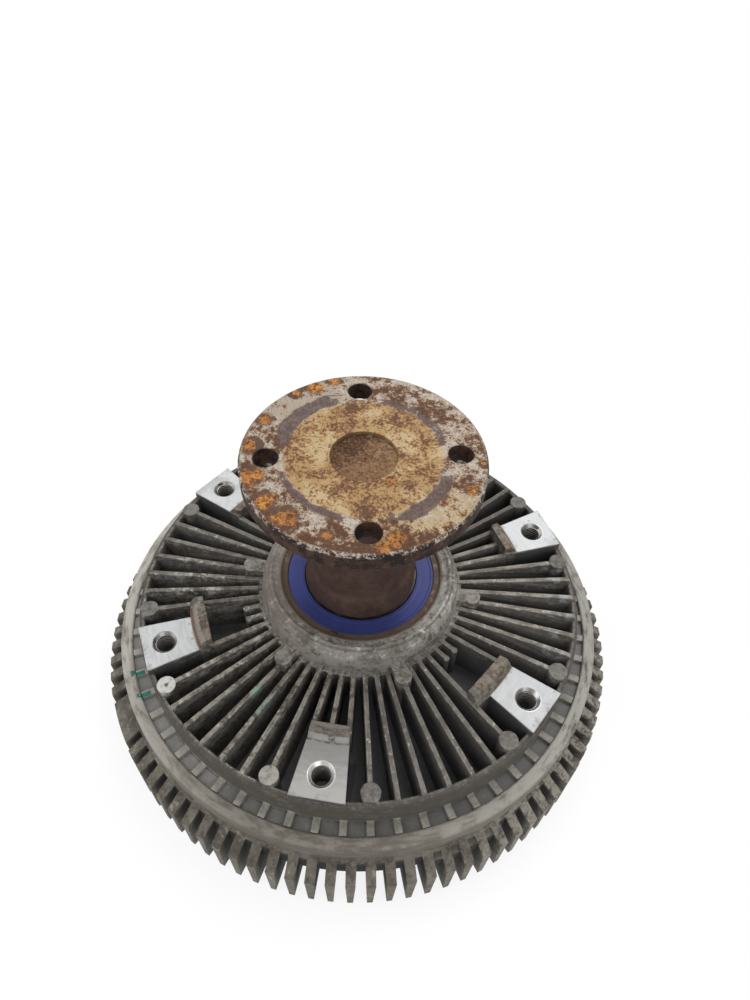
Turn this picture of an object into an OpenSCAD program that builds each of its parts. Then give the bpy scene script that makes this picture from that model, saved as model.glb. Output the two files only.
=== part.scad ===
// Viscous fan clutch: bolt-on drive flange, finned rear housing, finned front cover, bimetal valve.
// Millimetres. +Z runs along the shaft towards the flange, z = 0 lies at the tips of the front fins.

/* [Stack height] */
// Height of the fins on the front face of the cover
front_fin_h = 12; // [9:0.5:16]
// Wall of the front cover under the fluid chamber
cover_wall = 6; // [5:0.5:9]
// Height of the shear lands on each side of the rotor
land_h = 7.7; // [6:0.1:9.5]
// Thickness of the rotor web
rotor_web = 6; // [4:0.5:9]
// Axial clearance at the tip of each land
axial_gap = 0.8; // [0.5:0.1:1.2]
// Top of the rolled rim above the roof of the fluid chamber
rim_rise = 7; // [6:0.5:10]
// Fan pad face above the rim
pad_rise = 20; // [17:0.5:26]
// Rear face of the bearing above the rim
bearing_rise = 30.3; // [28:0.1:38]
// Flange face above the rim
flange_rise = 114.5; // [100:0.5:140]

/* [Drive flange and shaft] */
// Diameter of the drive flange
flange_d = 106; // [100:1:125]
// Thickness of the drive flange
flange_t = 9.5; // [7:0.5:14]
// Bevel on both edges of the flange
flange_bevel = 1; // [0.4:0.1:2]
// Fillet under the flange
flange_fillet = 16; // [8:0.5:20]
// Circle of the flange bolt holes
bolt_pcd = 83; // [78:0.5:86]
// Number of flange bolt holes
bolt_count = 4; // [3:1:6]
// Diameter of each flange bolt hole
bolt_hole_d = 11; // [8:0.1:13]
// Bevel at the mouth of each flange bolt hole
bolt_hole_bevel = 0.5; // [0.2:0.1:1]
// Diameter of the centring recess in the flange face
pilot_d = 29.2; // [24:0.1:40]
// Depth of the centring recess
pilot_depth = 1.5; // [1:0.1:4]
// Diameter of the shaft neck
neck_d = 47; // [42:0.5:50]
// Step from the inner ring's shoulder in to the collar that bears on it
collar_inset = 0.7; // [0.4:0.1:2]
// Height of the collar
collar_h = 8.5; // [5:0.5:14]
// Turn of the flange bolt holes from +X at rest
flange_turn = 12; // [0:1:45]

/* [Bearing] */
// Bore of the bearing
bearing_bore = 45; // [43:0.5:46]
// Radial height of the bearing from its bore to its outside
bearing_section = 20; // [19:0.5:21]
// Width of the bearing
bearing_w = 19; // [18:0.5:22]
// Number of balls
ball_count = 10; // [8:1:10]
// Thickness of the bearing seals
seal_t = 1.5; // [1:0.1:1.8]

/* [Rear housing] */
// Wall of the hub round the bearing
hub_wall = 8; // [6:0.5:9.5]
// Hub ridge above the bearing face
hub_lip = 2.7; // [2:0.1:4]
// Wall between the fluid chamber and the fin valleys
roof_wall = 5; // [4:0.5:7]
// Rear fin height above the rim
fin_rise = 18.8; // [16:0.2:19.4]
// Rear fin thickness at its top edge
fin_top_t = 2.1; // [1.6:0.1:2.6]
// Rear fin thickness at its root
fin_root_t = 3; // [2.6:0.1:3.4]
// Thickness of the ring wall that closes the fins
drum_wall = 2.8; // [2.4:0.1:4]
// Step from the fins' top edge down to that ring wall
drum_drop = 2.3; // [1.5:0.1:6]
// Width of the pockets between ring wall and rim
pocket_w = 6.5; // [5.5:0.1:8]
// Depth of those pockets
pocket_depth = 2.5; // [2:0.1:4]
// Width of the ribs between those pockets
rib_t = 3.4; // [2:0.1:4.4]

/* [Fan pads] */
// Circle of the threaded fan holes, which sets all larger radii
fan_pcd = 202; // [194:0.5:214]
// Distance from that circle out to the face of the ring wall
fan_edge = 11.5; // [10.5:0.1:13]
// Core diameter of each threaded fan hole
fan_core_d = 8.5; // [6.8:0.1:10.2]
// Depth of each threaded fan hole
fan_hole_depth = 19; // [12:0.5:21]
// Mouth bevel of each threaded fan hole
fan_hole_bevel = 1.7; // [0.8:0.1:2.2]
// Half angle of a fan pad
pad_half = 6.4; // [5.5:0.1:7]
// Distance from that circle in to the machined step that centres the fan
step_inset = 14; // [12:0.5:16]
// Width of the lip inside that step
lip_w = 7; // [5:0.5:9]
// Height of the lip above the pad face
lip_rise = 4.6; // [3:0.2:6]
// Lean of the lip's outer face over that height
lip_lean = 2.6; // [0.5:0.1:3.5]
// Diameter of the round bosses beside the pads
boss_d = 8.8; // [7:0.2:9.4]
// Diameter of the bosses at the hub
hub_boss_d = 8.4; // [7.6:0.2:8.8]

/* [Front cover] */
// Width of the rolled rim
rim_w = 6; // [5:0.5:7]
// Step from the cover wall in to the rolled rim
rim_step = 1; // [0.5:0.1:2]
// Reach of the cover fins outside the cover wall
cover_fin_out = 8.5; // [6:0.5:12]
// Number of cover fins, an even number
cover_fin_count = 92; // [80:2:96]
// Cover fin thickness at the rim
cover_fin_top_t = 5; // [4:0.1:5.4]
// Cover fin thickness at the tip
cover_fin_tip_t = 2.7; // [2:0.1:3.2]
// Cover fin top below the rim at the wall
cover_fin_drop_in = 14; // [12:0.5:18]
// Cover fin top below the rim at the outer edge
cover_fin_drop_out = 20; // [19:0.5:26]
// Bend between the cover wall and the front face
cover_bend = 10; // [7:0.5:11]
// Radius where the long front fins start
long_fin_r = 54; // [53.5:0.5:62]
// Length of the short front fins inside the cover wall
short_fin_len = 40; // [30:1:50]

/* [Rotor and fluid chamber] */
// Wall of the spigot between the fluid chamber and the cover
spigot_wall = 5.2; // [4.8:0.1:6]
// Shear lands on each side of the rotor
land_count = 7; // [4:1:7]
// Width of each shear land
land_w = 2.5; // [2:0.1:2.7]
// Radial clearance between neighbouring lands
land_gap = 0.5; // [0.4:0.1:0.7]
// Clearance round the rotor
rotor_gap = 2; // [1.5:0.1:2.4]

/* [Valve] */
// Radius of the valve shaft
valve_r = 4; // [3.5:0.1:5]
// Radius of the fluid port in the pump plate
port_r = 4.5; // [3:0.1:5]
// Distance of the port from the axis
port_at = 38; // [32:0.5:40]
// Thickness of the pump plate
plate_t = 1.5; // [1:0.1:1.8]
// Thickness of the bimetal strip
coil_t = 1; // [0.7:0.1:1.2]
// Width of the bimetal strip along the axis
coil_w = 6.8; // [5:0.1:7]
// Pitch of the bimetal coil
coil_pitch = 3; // [2.6:0.1:3.4]
// Turns of the bimetal coil
coil_turns = 5; // [3:1:5]

/* [Hidden] */
$fn = 96;

// Clearance of a fit, of a running fit, and the overlap that fuses one casting
fit = 0.03;
run = 0.05;
bite = 1;

// Levels
face_z = front_fin_h;
floor_z = face_z + cover_wall;
web_z0 = floor_z + axial_gap + land_h;
web_z1 = web_z0 + rotor_web;
roof_z = web_z1 + land_h + axial_gap;
valley_z = roof_z + roof_wall;
rim_z = roof_z + rim_rise;
pocket_z = rim_z - pocket_depth;
ledge_z = roof_z - 3;
spigot_z = ledge_z - 5;
fin_z = rim_z + fin_rise;
drum_z = fin_z - drum_drop;
pad_z = rim_z + pad_rise;
lip_z = pad_z + lip_rise;
bearing_z1 = rim_z + bearing_rise;
bearing_z0 = bearing_z1 - bearing_w;
bearing_mid = (bearing_z0 + bearing_z1) / 2;
hub_z = bearing_z1 + hub_lip;
flange_z1 = rim_z + flange_rise;
flange_z0 = flange_z1 - flange_t;
skirt_z = rim_z - cover_fin_drop_in;

// Bearing
bearing_od = bearing_bore + 2 * bearing_section;
ball_r = 0.3175 * bearing_section;
ball_path = (bearing_bore + bearing_section) / 2;
race_r = ball_r + 0.1;
inner_land = ball_path - 0.23 * bearing_section;
outer_land = ball_path + 0.205 * bearing_section;
seal_r0 = inner_land + 0.2;
seal_r1 = outer_land + 0.4;
seal_sink = 0.3;
cage_t = 0.13 * bearing_section;
cage_half = ball_r + 1;

// Shaft and rotor seat
journal_r = bearing_bore / 2 - fit;
neck_r = neck_d / 2;
collar_r = inner_land - collar_inset;
collar_z = bearing_z1 + collar_h;
seat_step = 8;
shaft_end = web_z1 + seat_step;
spline_teeth = 24;
spline_r = bearing_bore / 2 - 5;
spline_h = 0.9;
rotor_bolt_r = 7;
rotor_bolt_len = 26;
rotor_bolt_head_r = 12;
rotor_bolt_head_h = 4.5;
washer_r = 15.5;
washer_t = 2.5;
recess_r = washer_r + 1;
recess_z = web_z1 + 2;
sleeve_r = inner_land - 1.9;

// Radii outside the fan holes
drum_r = fan_pcd / 2 + fan_edge;
drum_in = drum_r - drum_wall;
rim_in = drum_r + pocket_w;
rim_r = rim_in + rim_w;
cover_r = rim_r + rim_step;
cover_fin_r = cover_r + cover_fin_out;

// Rear housing
seat_r = bearing_od / 2 + fit;
throat_r = bearing_od / 2 - 5;
stake_r = bearing_od / 2 - 2.5;
ridge_r = stake_r + 5;
ridge_w = 1.1;
shoulder_z = fin_z + 0.9;
hub_r = bearing_od / 2 + hub_wall;
fin_count = 60;
fin_pitch = 360 / fin_count;
fin_end = drum_in + 0.3;
fin_z0 = valley_z - bite;
pad_z0 = fin_z0 - 0.4;
foot_z = fin_z0 - 0.8;
roots_z0 = fin_z0 - 1.2;
u_r = 2.3;
u_at = hub_r + 4;
body_r = rim_r - 4.4;
spigot_r = body_r - 3.4;
chamber_r = spigot_r - spigot_wall;
groove_d = 1.8;
groove_h = 2.4;
groove_z = spigot_z + 1.4;
pad_count = 6;
pad_first = -90;
fins_per_pad = fin_count / pad_count;
step_r = fan_pcd / 2 - step_inset;
lip_r = step_r - lip_w;
pad_out = drum_r - 0.9;
stub_len = 9;
stub_end = hub_r + stub_len;
boss_at = pad_out - boss_d / 2 - 0.2;
boss_z = fin_z + 0.5;
hub_boss_out = 7;
hub_boss_at = hub_r + hub_boss_out;
hub_boss_z = fin_z + 4;

// Shear lands: the rotor's own, and those of the castings half a pitch inside them
rotor_r = chamber_r - rotor_gap;
land_pitch = 2 * (land_w + land_gap);
rotor_lands = [for (i = [0:land_count - 1]) rotor_r - land_w / 2 - i * land_pitch];
casting_lands = [for (i = [0:land_count - 1]) rotor_lands[i] - land_pitch / 2];
last_land = casting_lands[land_count - 1];
front_tip = web_z0 - land_h;
rear_tip = web_z1 + land_h;
rotor_port_r = 4;
rotor_port_at = (sleeve_r + last_land) / 2;

// Front cover
cover_fin_pitch = 360 / cover_fin_count;
cover_fin_bevel = 1.2;
wide_tooth_at = -144.6;
wide_tooth_half = 1.25 * cover_fin_pitch;
root_web_at = wide_tooth_at + 22 * cover_fin_pitch;
root_web_out = 2.6;
root_web_h = 8;
root_web_z = skirt_z - 3;
short_fin_r = cover_r - short_fin_len;
coil_ring_r = long_fin_r - 3;
coil_ring_w = 3;

// Pump plate and its seat
plate_z = web_z0 - 3.5;
plate_margin = 8;
plate_r = last_land - plate_margin;
dam_w = 3;
well_r = plate_r - 6;
well_z = face_z + 4.5;
plate_screw_count = 6;
plate_screw_at = (plate_r + well_r) / 2;
plate_screw_r = 1.45;
plate_screw_len = 6;
plate_head_r = 2.6;
plate_head_h = 1;
plate_turn = 15;

// Return channel, drilled in from the wide tooth
channel_r = 2.5;
channel_z = face_z - 1;
channel_in = well_r - 3.5;
channel_wall = 4;
intake_at = chamber_r - 2;
plug_len = 7;

// Valve
valve_bore = valve_r + run;
boss_r = 10;
boss_z0 = face_z - 2.5;
boss_z1 = well_z + 2.5;
valve_z0 = 0.8;
valve_head_r = valve_r + 2.5;
valve_head_h = 1.2;
arm_z = boss_z1 + run + valve_head_h;
arm_t = 1.2;
arm_hub_r = valve_r + 3.5;
arm_pad_r = port_r + 2;
tip_r = valve_r - 1;
valve_turn = 115;
ring_r = 0.9;
ring_groove_r = valve_r - 2 * ring_r - run;
ring_groove_h = 2.2;
ring_z = face_z + 1.5;
clip_t = 0.8;
clip_z = boss_z0 - clip_t - 0.2;
clip_in = valve_r - 0.9;
clip_out = valve_r + 3;

// Bimetal coil
coil_z = 1.2;
coil_r0 = valve_r + 4;
coil_r1 = coil_r0 + coil_pitch * coil_turns;
coil_steps = 36;
slot_w = coil_t + 0.4;
post_w = 8;
post_gap = 5;
post_at = coil_r1 + post_gap + post_w / 2;

// Points of an arc about (x, y)
function arc(x, y, r, a0, a1, n = 5) =
  [for (i = [0:n]) [x + r * cos(a0 + (a1 - a0) * i / n), y + r * sin(a0 + (a1 - a0) * i / n)]];

// Outline of one land, from its outer side to its inner side
function land_out(r, z0, z1) =
  [[r + land_w / 2, z0], [r + land_w / 2, z1], [r - land_w / 2, z1], [r - land_w / 2, z0]];

// Outline of one land, from its inner side to its outer side
function land_in(r, z0, z1) =
  [[r - land_w / 2, z0], [r - land_w / 2, z1], [r + land_w / 2, z1], [r + land_w / 2, z0]];

// Points of a quarter ellipse about (x, y), from above it to its right
function shoulder(x, y, a, b, n = 6) =
  [for (i = [0:n]) [x + a * sin(90 * i / n), y + b * cos(90 * i / n)]];

// Joins a list of point lists
function joined(lists) = [for (l = lists) for (p = l) p];

// Copies on a circle
module around(count, start = 0) {
  for (i = [0:count - 1])
    rotate(start + i * 360 / count)
      children();
}

// A plate that stands on a radius, drawn as (radius, height)
module radial_plate(width) {
  translate([0, width / 2, 0])
    rotate([90, 0, 0])
      linear_extrude(width)
        children();
}

// A bar along a radius whose section tapers from w0 at z0 to w1 at z1
module draft_bar(r0, r1, z0, w0, z1, w1) {
  translate([r0, 0, 0])
    rotate([90, 0, 90])
      linear_extrude(r1 - r0)
        polygon([[-w0 / 2, z0], [w0 / 2, z0], [w1 / 2, z1], [-w1 / 2, z1]]);
}

// A block between two radii and two angles, with straight chords
module sector(r0, r1, a0, a1, z0, z1) {
  translate([0, 0, z0])
    linear_extrude(z1 - z0)
      polygon([
        [r0 * cos(a0), r0 * sin(a0)], [r1 * cos(a0), r1 * sin(a0)],
        [r1 * cos(a1), r1 * sin(a1)], [r0 * cos(a1), r0 * sin(a1)]
      ]);
}

// Toothed section of the shaft end, grown by a clearance
module spline(grow) {
  step = 360 / spline_teeth;
  root = spline_r - spline_h + grow;
  tip = spline_r + grow;
  polygon(joined([
    for (i = [0:spline_teeth - 1])
      [
        for (p = [[root, 0], [root, 0.25], [tip, 0.4], [tip, 0.85]])
          [p[0] * cos((i + p[1]) * step), p[0] * sin((i + p[1]) * step)]
      ]
  ]));
}

module shaft_profile() {
  collar_fillet = collar_r - neck_r;
  difference() {
    polygon([
      [0, bearing_z0], [journal_r, bearing_z0], [journal_r, bearing_z1],
      [collar_r, bearing_z1], [collar_r, collar_z + collar_fillet],
      [neck_r, collar_z + collar_fillet], [neck_r, flange_z0 - flange_fillet],
      [neck_r + flange_fillet, flange_z0 - flange_fillet], [neck_r + flange_fillet, flange_z0],
      [flange_d / 2 - flange_bevel, flange_z0], [flange_d / 2, flange_z0 + flange_bevel],
      [flange_d / 2, flange_z1 - flange_bevel], [flange_d / 2 - flange_bevel, flange_z1],
      [0, flange_z1]
    ]);
    translate([collar_r, collar_z + collar_fillet])
      circle(collar_fillet);
    translate([neck_r + flange_fillet, flange_z0 - flange_fillet])
      circle(flange_fillet);
  }
}

// Flange, neck, bearing journal and toothed rotor seat: one forging
module input_shaft() {
  color("#77695c")
    rotate(flange_turn)
      difference() {
        union() {
          rotate_extrude()
            shaft_profile();
          translate([0, 0, shaft_end])
            linear_extrude(bearing_z0 - shaft_end + bite)
              spline(0);
        }
        translate([0, 0, flange_z1 - pilot_depth])
          cylinder(d = pilot_d, h = pilot_depth + bite);
        around(bolt_count)
          translate([bolt_pcd / 2, 0, 0])
            bolt_hole();
        translate([0, 0, shaft_end - bite])
          cylinder(r = rotor_bolt_r, h = rotor_bolt_len + 6);
      }
}

module bolt_hole() {
  r = bolt_hole_d / 2;
  translate([0, 0, flange_z0 - flange_fillet])
    cylinder(r = r, h = flange_t + 2 * flange_fillet);
  translate([0, 0, flange_z1 - bolt_hole_bevel])
    cylinder(r1 = r, r2 = r + bolt_hole_bevel + bite, h = bolt_hole_bevel + bite);
}

// Disc with shear lands on both sides and the sleeve that clamps the inner ring
module rotor_disc() {
  outer_first = [for (i = [0:land_count - 1]) i];
  inner_first = [for (i = [0:land_count - 1]) land_count - 1 - i];
  color("#a9adb0")
    rotate(flange_turn)
      difference() {
        rotate_extrude()
          polygon(concat(
            [[recess_r, web_z0]],
            joined([for (i = inner_first) land_in(rotor_lands[i], web_z0, front_tip)]),
            joined([for (i = outer_first) land_out(rotor_lands[i], web_z1, rear_tip)]),
            [
              [sleeve_r, web_z1], [sleeve_r, bearing_z0 - fit], [spline_r - spline_h, bearing_z0 - fit],
              [spline_r - spline_h, shaft_end - 0.5], [rotor_bolt_r + 0.6, shaft_end - 0.5],
              [rotor_bolt_r + 0.6, recess_z], [recess_r, recess_z]
            ]
          ));
        translate([0, 0, shaft_end - 0.5])
          linear_extrude(bearing_z0 - shaft_end + bite)
            spline(run);
        around(pad_count, 180 / pad_count)
          translate([rotor_port_at, 0, web_z0 - bite])
            cylinder(r = rotor_port_r, h = rotor_web + 2 * bite);
      }
}

module rotor_washer() {
  color("#8d9194")
    translate([0, 0, recess_z - washer_t - fit])
      difference() {
        cylinder(r = washer_r, h = washer_t);
        translate([0, 0, -bite])
          cylinder(r = rotor_bolt_r + 0.6, h = washer_t + 2 * bite);
      }
}

// Hexagon head bolt that pulls the rotor up against the bearing
module rotor_bolt() {
  head_z = recess_z - washer_t - 2 * fit - rotor_bolt_head_h;
  color("#6f7376") {
    translate([0, 0, head_z])
      cylinder(r = rotor_bolt_head_r, h = rotor_bolt_head_h, $fn = 6);
    translate([0, 0, head_z + rotor_bolt_head_h - bite])
      cylinder(r = rotor_bolt_r - fit, h = shaft_end + rotor_bolt_len - head_z - rotor_bolt_head_h);
  }
}

module bearing_inner_ring() {
  color("#b9bcbe")
    rotate_extrude()
      difference() {
        translate([bearing_bore / 2, bearing_z0])
          square([inner_land - bearing_bore / 2, bearing_w]);
        translate([ball_path, bearing_mid])
          circle(race_r);
      }
}

module bearing_outer_ring() {
  seal_step = seal_t + seal_sink + 0.2;
  color("#7d5f4a")
    rotate_extrude()
      difference() {
        polygon([
          [outer_land, bearing_z0 + seal_step], [seal_r1 + fit, bearing_z0 + seal_step],
          [seal_r1 + fit, bearing_z0], [bearing_od / 2, bearing_z0],
          [bearing_od / 2, bearing_z1], [seal_r1 + fit, bearing_z1],
          [seal_r1 + fit, bearing_z1 - seal_step], [outer_land, bearing_z1 - seal_step]
        ]);
        translate([ball_path, bearing_mid])
          circle(race_r);
      }
}

module bearing_balls() {
  color("#cfd2d4")
    around(ball_count)
      translate([ball_path, 0, bearing_mid])
        sphere(ball_r);
}

module bearing_cage() {
  color("#c9b27a")
    difference() {
      translate([0, 0, bearing_mid - cage_half])
        difference() {
          cylinder(r = ball_path + cage_t / 2, h = 2 * cage_half);
          translate([0, 0, -bite])
            cylinder(r = ball_path - cage_t / 2, h = 2 * cage_half + 2 * bite);
        }
      around(ball_count)
        translate([ball_path, 0, bearing_mid])
          sphere(ball_r + run);
    }
}

// Dished rubber seal; up is 1 for the rear one and -1 for the front one
module bearing_seal(up) {
  face = up > 0 ? bearing_z1 - seal_sink : bearing_z0 + seal_sink;
  color("#2f78bd")
    rotate_extrude()
      polygon([
        [seal_r0, face - up * seal_t], [seal_r1, face - up * seal_t],
        [seal_r1, face - up * 0.2], [seal_r1 - 0.5, face], [seal_r1 - 1.3, face],
        [seal_r1 - 2, face - up * 0.15], [seal_r0 + 2.6, face - up * 0.15],
        [seal_r0 + 1.8, face], [seal_r0 + 0.4, face], [seal_r0, face - up * 0.3]
      ]);
}

module bearing_seal_rear() {
  bearing_seal(1);
}

module bearing_seal_front() {
  bearing_seal(-1);
}

// Section of the rear casting without fins: hub, roof with its lands, ring wall, edge and spigot
module housing_profile() {
  root = 2;
  edge = 1;
  polygon(concat(
    [
      [throat_r, roof_z], [throat_r, bearing_z0], [seat_r, bearing_z0],
      [seat_r, bearing_z1 + fit], [stake_r, bearing_z1 + fit], [stake_r, bearing_z1 + 0.8],
      [stake_r + 0.7, bearing_z1 + 1.4], [ridge_r - ridge_w, hub_z - 0.6]
    ],
    shoulder(ridge_r, shoulder_z, hub_r - ridge_r, hub_z - shoulder_z),
    arc(hub_r + root, valley_z + root, root, 180, 270, 2),
    arc(drum_in - root, valley_z + root, root, 270, 360, 2),
    arc(drum_in + edge, drum_z - edge, edge, 180, 90, 3),
    arc(drum_r - edge, drum_z - edge, edge, 90, 0, 3),
    [
      [drum_r, pocket_z], [body_r, pocket_z], [body_r, ledge_z], [spigot_r, ledge_z],
      [spigot_r, groove_z + groove_h], [spigot_r - groove_d, groove_z + groove_h],
      [spigot_r - groove_d, groove_z], [spigot_r, groove_z],
      [spigot_r, spigot_z], [chamber_r + 0.5, spigot_z], [chamber_r + 0.5, roof_z]
    ],
    joined([for (r = casting_lands) land_out(r, roof_z, web_z1 + axial_gap)])
  ));
}

// One drafted rear fin from the hub to radius r1
module rear_fin(r1, full) {
  r0 = hub_r - 2;
  foot = drum_r - 0.9;
  end = full ? [[fin_end, fin_z], [foot, drum_z - 0.4], [foot, fin_z0]] : [[r1, fin_z], [r1, fin_z0]];
  intersection() {
    radial_plate(2 * fin_root_t)
      polygon(concat([[r0, fin_z0], [r0, fin_z]], end));
    draft_bar(r0 - bite, drum_r, fin_z0 - bite, fin_root_t, fin_z + bite, fin_top_t);
  }
}

// Fins of one pad group, from two fins before the pad to seven after it
module rear_fins(pocketed) {
  for (i = [2:fins_per_pad - 2])
    rotate(i * fin_pitch)
      rear_fin(fin_end, true);
  rotate(fin_pitch)
    rear_fin(lip_r + bite, false);
  for (i = [-1:0])
    rotate(i * fin_pitch) {
      rear_fin(pocketed ? stub_end : lip_r + bite, false);
      if (pocketed)
        translate([stub_end, 0, foot_z])
          cylinder(d = fin_root_t, h = fin_z - foot_z - 0.3);
    }
}

// Round roots that close the fin valleys at the hub
module valley_roots() {
  difference() {
    translate([0, 0, roots_z0])
      cylinder(r = u_at, h = fin_z - roots_z0 - 0.6);
    translate([0, 0, roots_z0 - bite])
      cylinder(r = hub_r - bite, h = fin_z - roots_z0 + 2 * bite);
    around(fin_count, fin_pitch / 2)
      translate([u_at, 0, pad_z0])
        cylinder(r = u_r, h = fin_z - pad_z0 + bite);
  }
}

// Machined fan pad, its lip and the round bosses next to it
module fan_pad(pocketed) {
  lip_half = pad_half - 0.2;
  lip_end = pocketed ? -2 * fin_pitch : -lip_half;
  sector(lip_r + 0.6, pad_out / cos(pad_half), -pad_half, pad_half, pad_z0, pad_z);
  intersection() {
    sector(lip_r, step_r + 2 * bite, lip_end, lip_half, pad_z0 + 0.2, lip_z);
    rotate_extrude()
      polygon([
        [0, 0], [step_r, 0], [step_r, pad_z], [step_r - lip_lean, lip_z - 0.7],
        [step_r - lip_lean - 0.8, lip_z + 0.1], [0, lip_z + 0.1]
      ]);
  }
  for (side = [-1, 1])
    rotate(side * 2 * fin_pitch)
      translate([boss_at, 0, foot_z])
        cylinder(d = boss_d, h = boss_z - foot_z);
}

module hub_boss() {
  web = hub_boss_d * 0.84;
  translate([hub_boss_at, 0, foot_z])
    cylinder(d = hub_boss_d, h = hub_boss_z - foot_z);
  translate([hub_r - bite, -web / 2, pad_z0])
    cube([hub_boss_at - hub_r + bite, web, hub_boss_z - pad_z0 - 0.2]);
}

// Blind hole for a fan screw, bored to the core diameter of its thread
module fan_hole() {
  r = fan_core_d / 2;
  translate([fan_pcd / 2, 0, pad_z - fan_hole_depth])
    cylinder(r = r, h = fan_hole_depth + bite);
  translate([fan_pcd / 2, 0, pad_z - fan_hole_bevel])
    cylinder(r1 = r, r2 = r + fan_hole_bevel + bite, h = fan_hole_bevel + bite);
}

// Finned rear casting with fan pads, bearing seat and shear lands
module rear_housing() {
  color("#8b867d")
    difference() {
      union() {
        rotate_extrude()
          housing_profile();
        valley_roots();
        for (k = [0:pad_count - 1])
          rotate(pad_first + k * 360 / pad_count) {
            rear_fins(k % 2 == 1);
            fan_pad(k % 2 == 1);
            rotate(180 / pad_count)
              hub_boss();
          }
        around(fin_count)
          translate([drum_r - bite, -rib_t / 2, pocket_z - bite])
            cube([rim_in - drum_r + bite - 0.2, rib_t, pocket_depth + bite - 0.4]);
      }
      around(pad_count, pad_first)
        fan_hole();
    }
}

// Section of the front casting without fins, from the valve bore out to the rolled rim and back
module cover_profile() {
  roll = 1.5;
  polygon(concat(
    [
      [valve_bore, boss_z0], [boss_r, boss_z0], [boss_r, face_z]
    ],
    arc(cover_r - cover_bend, face_z + cover_bend, cover_bend, 270, 360, 8),
    [[cover_r, skirt_z - 0.5], [rim_r, skirt_z + 0.5]],
    arc(rim_r - roll, rim_z - roll, roll, 0, 90),
    arc(rim_in + 1, rim_z - 1, 1, 90, 180),
    [
      [rim_in, pocket_z + fit], [body_r + fit, pocket_z + fit], [body_r + fit, ledge_z - fit],
      [spigot_r + fit, ledge_z - fit], [spigot_r + fit, spigot_z - 0.5],
      [chamber_r, spigot_z - 0.5], [chamber_r, floor_z]
    ],
    joined([for (r = casting_lands) land_out(r, floor_z, web_z0 - axial_gap)]),
    [
      [plate_r + dam_w, floor_z], [plate_r + dam_w, plate_z + plate_t + 0.5],
      [plate_r + 0.2, plate_z + plate_t + 0.5], [plate_r + 0.2, plate_z - fit],
      [well_r, plate_z - fit], [well_r, well_z], [boss_r + 2, well_z],
      [boss_r + 2, boss_z1], [valve_bore, boss_z1]
    ]
  ));
}

// Side outline of a cover fin from radius r0 and level z0, pulled in by a small amount
function cover_fin_side(r0, z0, in) = concat(
  [
    [r0, face_z + 2], [r0, cover_fin_bevel], [r0 + cover_fin_bevel, z0],
    [cover_fin_r - in - cover_fin_bevel, z0], [cover_fin_r - in, cover_fin_bevel + in],
    [cover_fin_r - in, rim_z - cover_fin_drop_out - in], [cover_r - 0.6, skirt_z - in],
    [cover_r - 2, skirt_z - in - 0.4]
  ],
  arc(cover_r - cover_bend, face_z + cover_bend, cover_bend - 2, 0, -90, 3)
);

// One drafted cover fin with a round tip, from radius r0 to r1
module cover_fin(r0, r1) {
  tip = cover_fin_tip_t / 2;
  root = cover_fin_top_t / 2;
  intersection() {
    radial_plate(2 * cover_fin_top_t)
      polygon(cover_fin_side(r0, -0.5, 0));
    translate([r0 - bite, 0, 0])
      rotate([90, 0, 90])
        linear_extrude(r1 - r0 + bite)
          polygon(concat(arc(0, tip, tip, 180, 360, 6), [[root, skirt_z + bite], [-root, skirt_z + bite]]));
  }
}

// Drilled way that returns fluid from the rotor rim to the store
module return_channel() {
  rotate(wide_tooth_at) {
    translate([channel_in, 0, channel_z])
      rotate([0, 90, 0])
        cylinder(r = channel_r, h = cover_fin_r - channel_in + bite);
    translate([channel_in, 0, channel_z])
      cylinder(r = channel_r - 0.4, h = well_z - channel_z + bite);
    translate([intake_at, 0, channel_z])
      cylinder(r = channel_r - 0.6, h = floor_z - channel_z + bite);
  }
}

// Cast post that holds the outer end of the bimetal coil
module coil_post() {
  rotate(valve_turn)
    difference() {
      translate([post_at - post_w / 2, -post_w / 2, coil_z])
        cube([post_w, post_w, face_z - coil_z + bite]);
      translate([post_at - post_w, -slot_w / 2, 0])
        cube([2 * post_w, slot_w, coil_z + coil_w + 0.4]);
    }
}

// Finned front casting with the rolled rim, fluid store, valve bore and shear lands
module front_cover() {
  color("#857d72")
    difference() {
      union() {
        rotate_extrude()
          cover_profile();
        rotate_extrude()
          translate([coil_ring_r - coil_ring_w, 2])
            square([coil_ring_w, face_z + bite - 2]);
        for (i = [0:cover_fin_count - 1])
          rotate(wide_tooth_at + i * cover_fin_pitch)
            cover_fin(
              i % 2 == 0 ? long_fin_r : short_fin_r,
              min(i, cover_fin_count - i) < 2 ? cover_r - cover_bend : cover_fin_r + bite
            );
        rotate(wide_tooth_at - wide_tooth_half)
          rotate_extrude(angle = 2 * wide_tooth_half)
            polygon(cover_fin_side(cover_r - cover_bend - 4, 0.3, 0.3));
        rotate(root_web_at - 2 * cover_fin_pitch)
          rotate_extrude(angle = 4 * cover_fin_pitch)
            polygon([
              [cover_r - 2, root_web_z + 1.5], [cover_r + root_web_out, root_web_z],
              [cover_r + root_web_out, root_web_z - root_web_h], [cover_r - 2, root_web_z - root_web_h - 2]
            ]);
        rotate(wide_tooth_at)
          translate([channel_in - channel_wall, -2 * channel_r, channel_z - channel_r - 2])
            cube([cover_r - coil_ring_w - channel_in + channel_wall, 4 * channel_r, channel_r + 4]);
        coil_post();
      }
      return_channel();
      around(plate_screw_count, plate_turn)
        translate([plate_screw_at, 0, plate_z - plate_screw_len - 0.5])
          cylinder(r = plate_screw_r + fit, h = plate_screw_len + bite);
      rotate(wide_tooth_at + 5)
        rotate_extrude(angle = 5.2)
          translate([chamber_r - bite, floor_z + 1.5])
            square([bite + 2 + fit, spigot_z - floor_z - 3]);
    }
}

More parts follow.
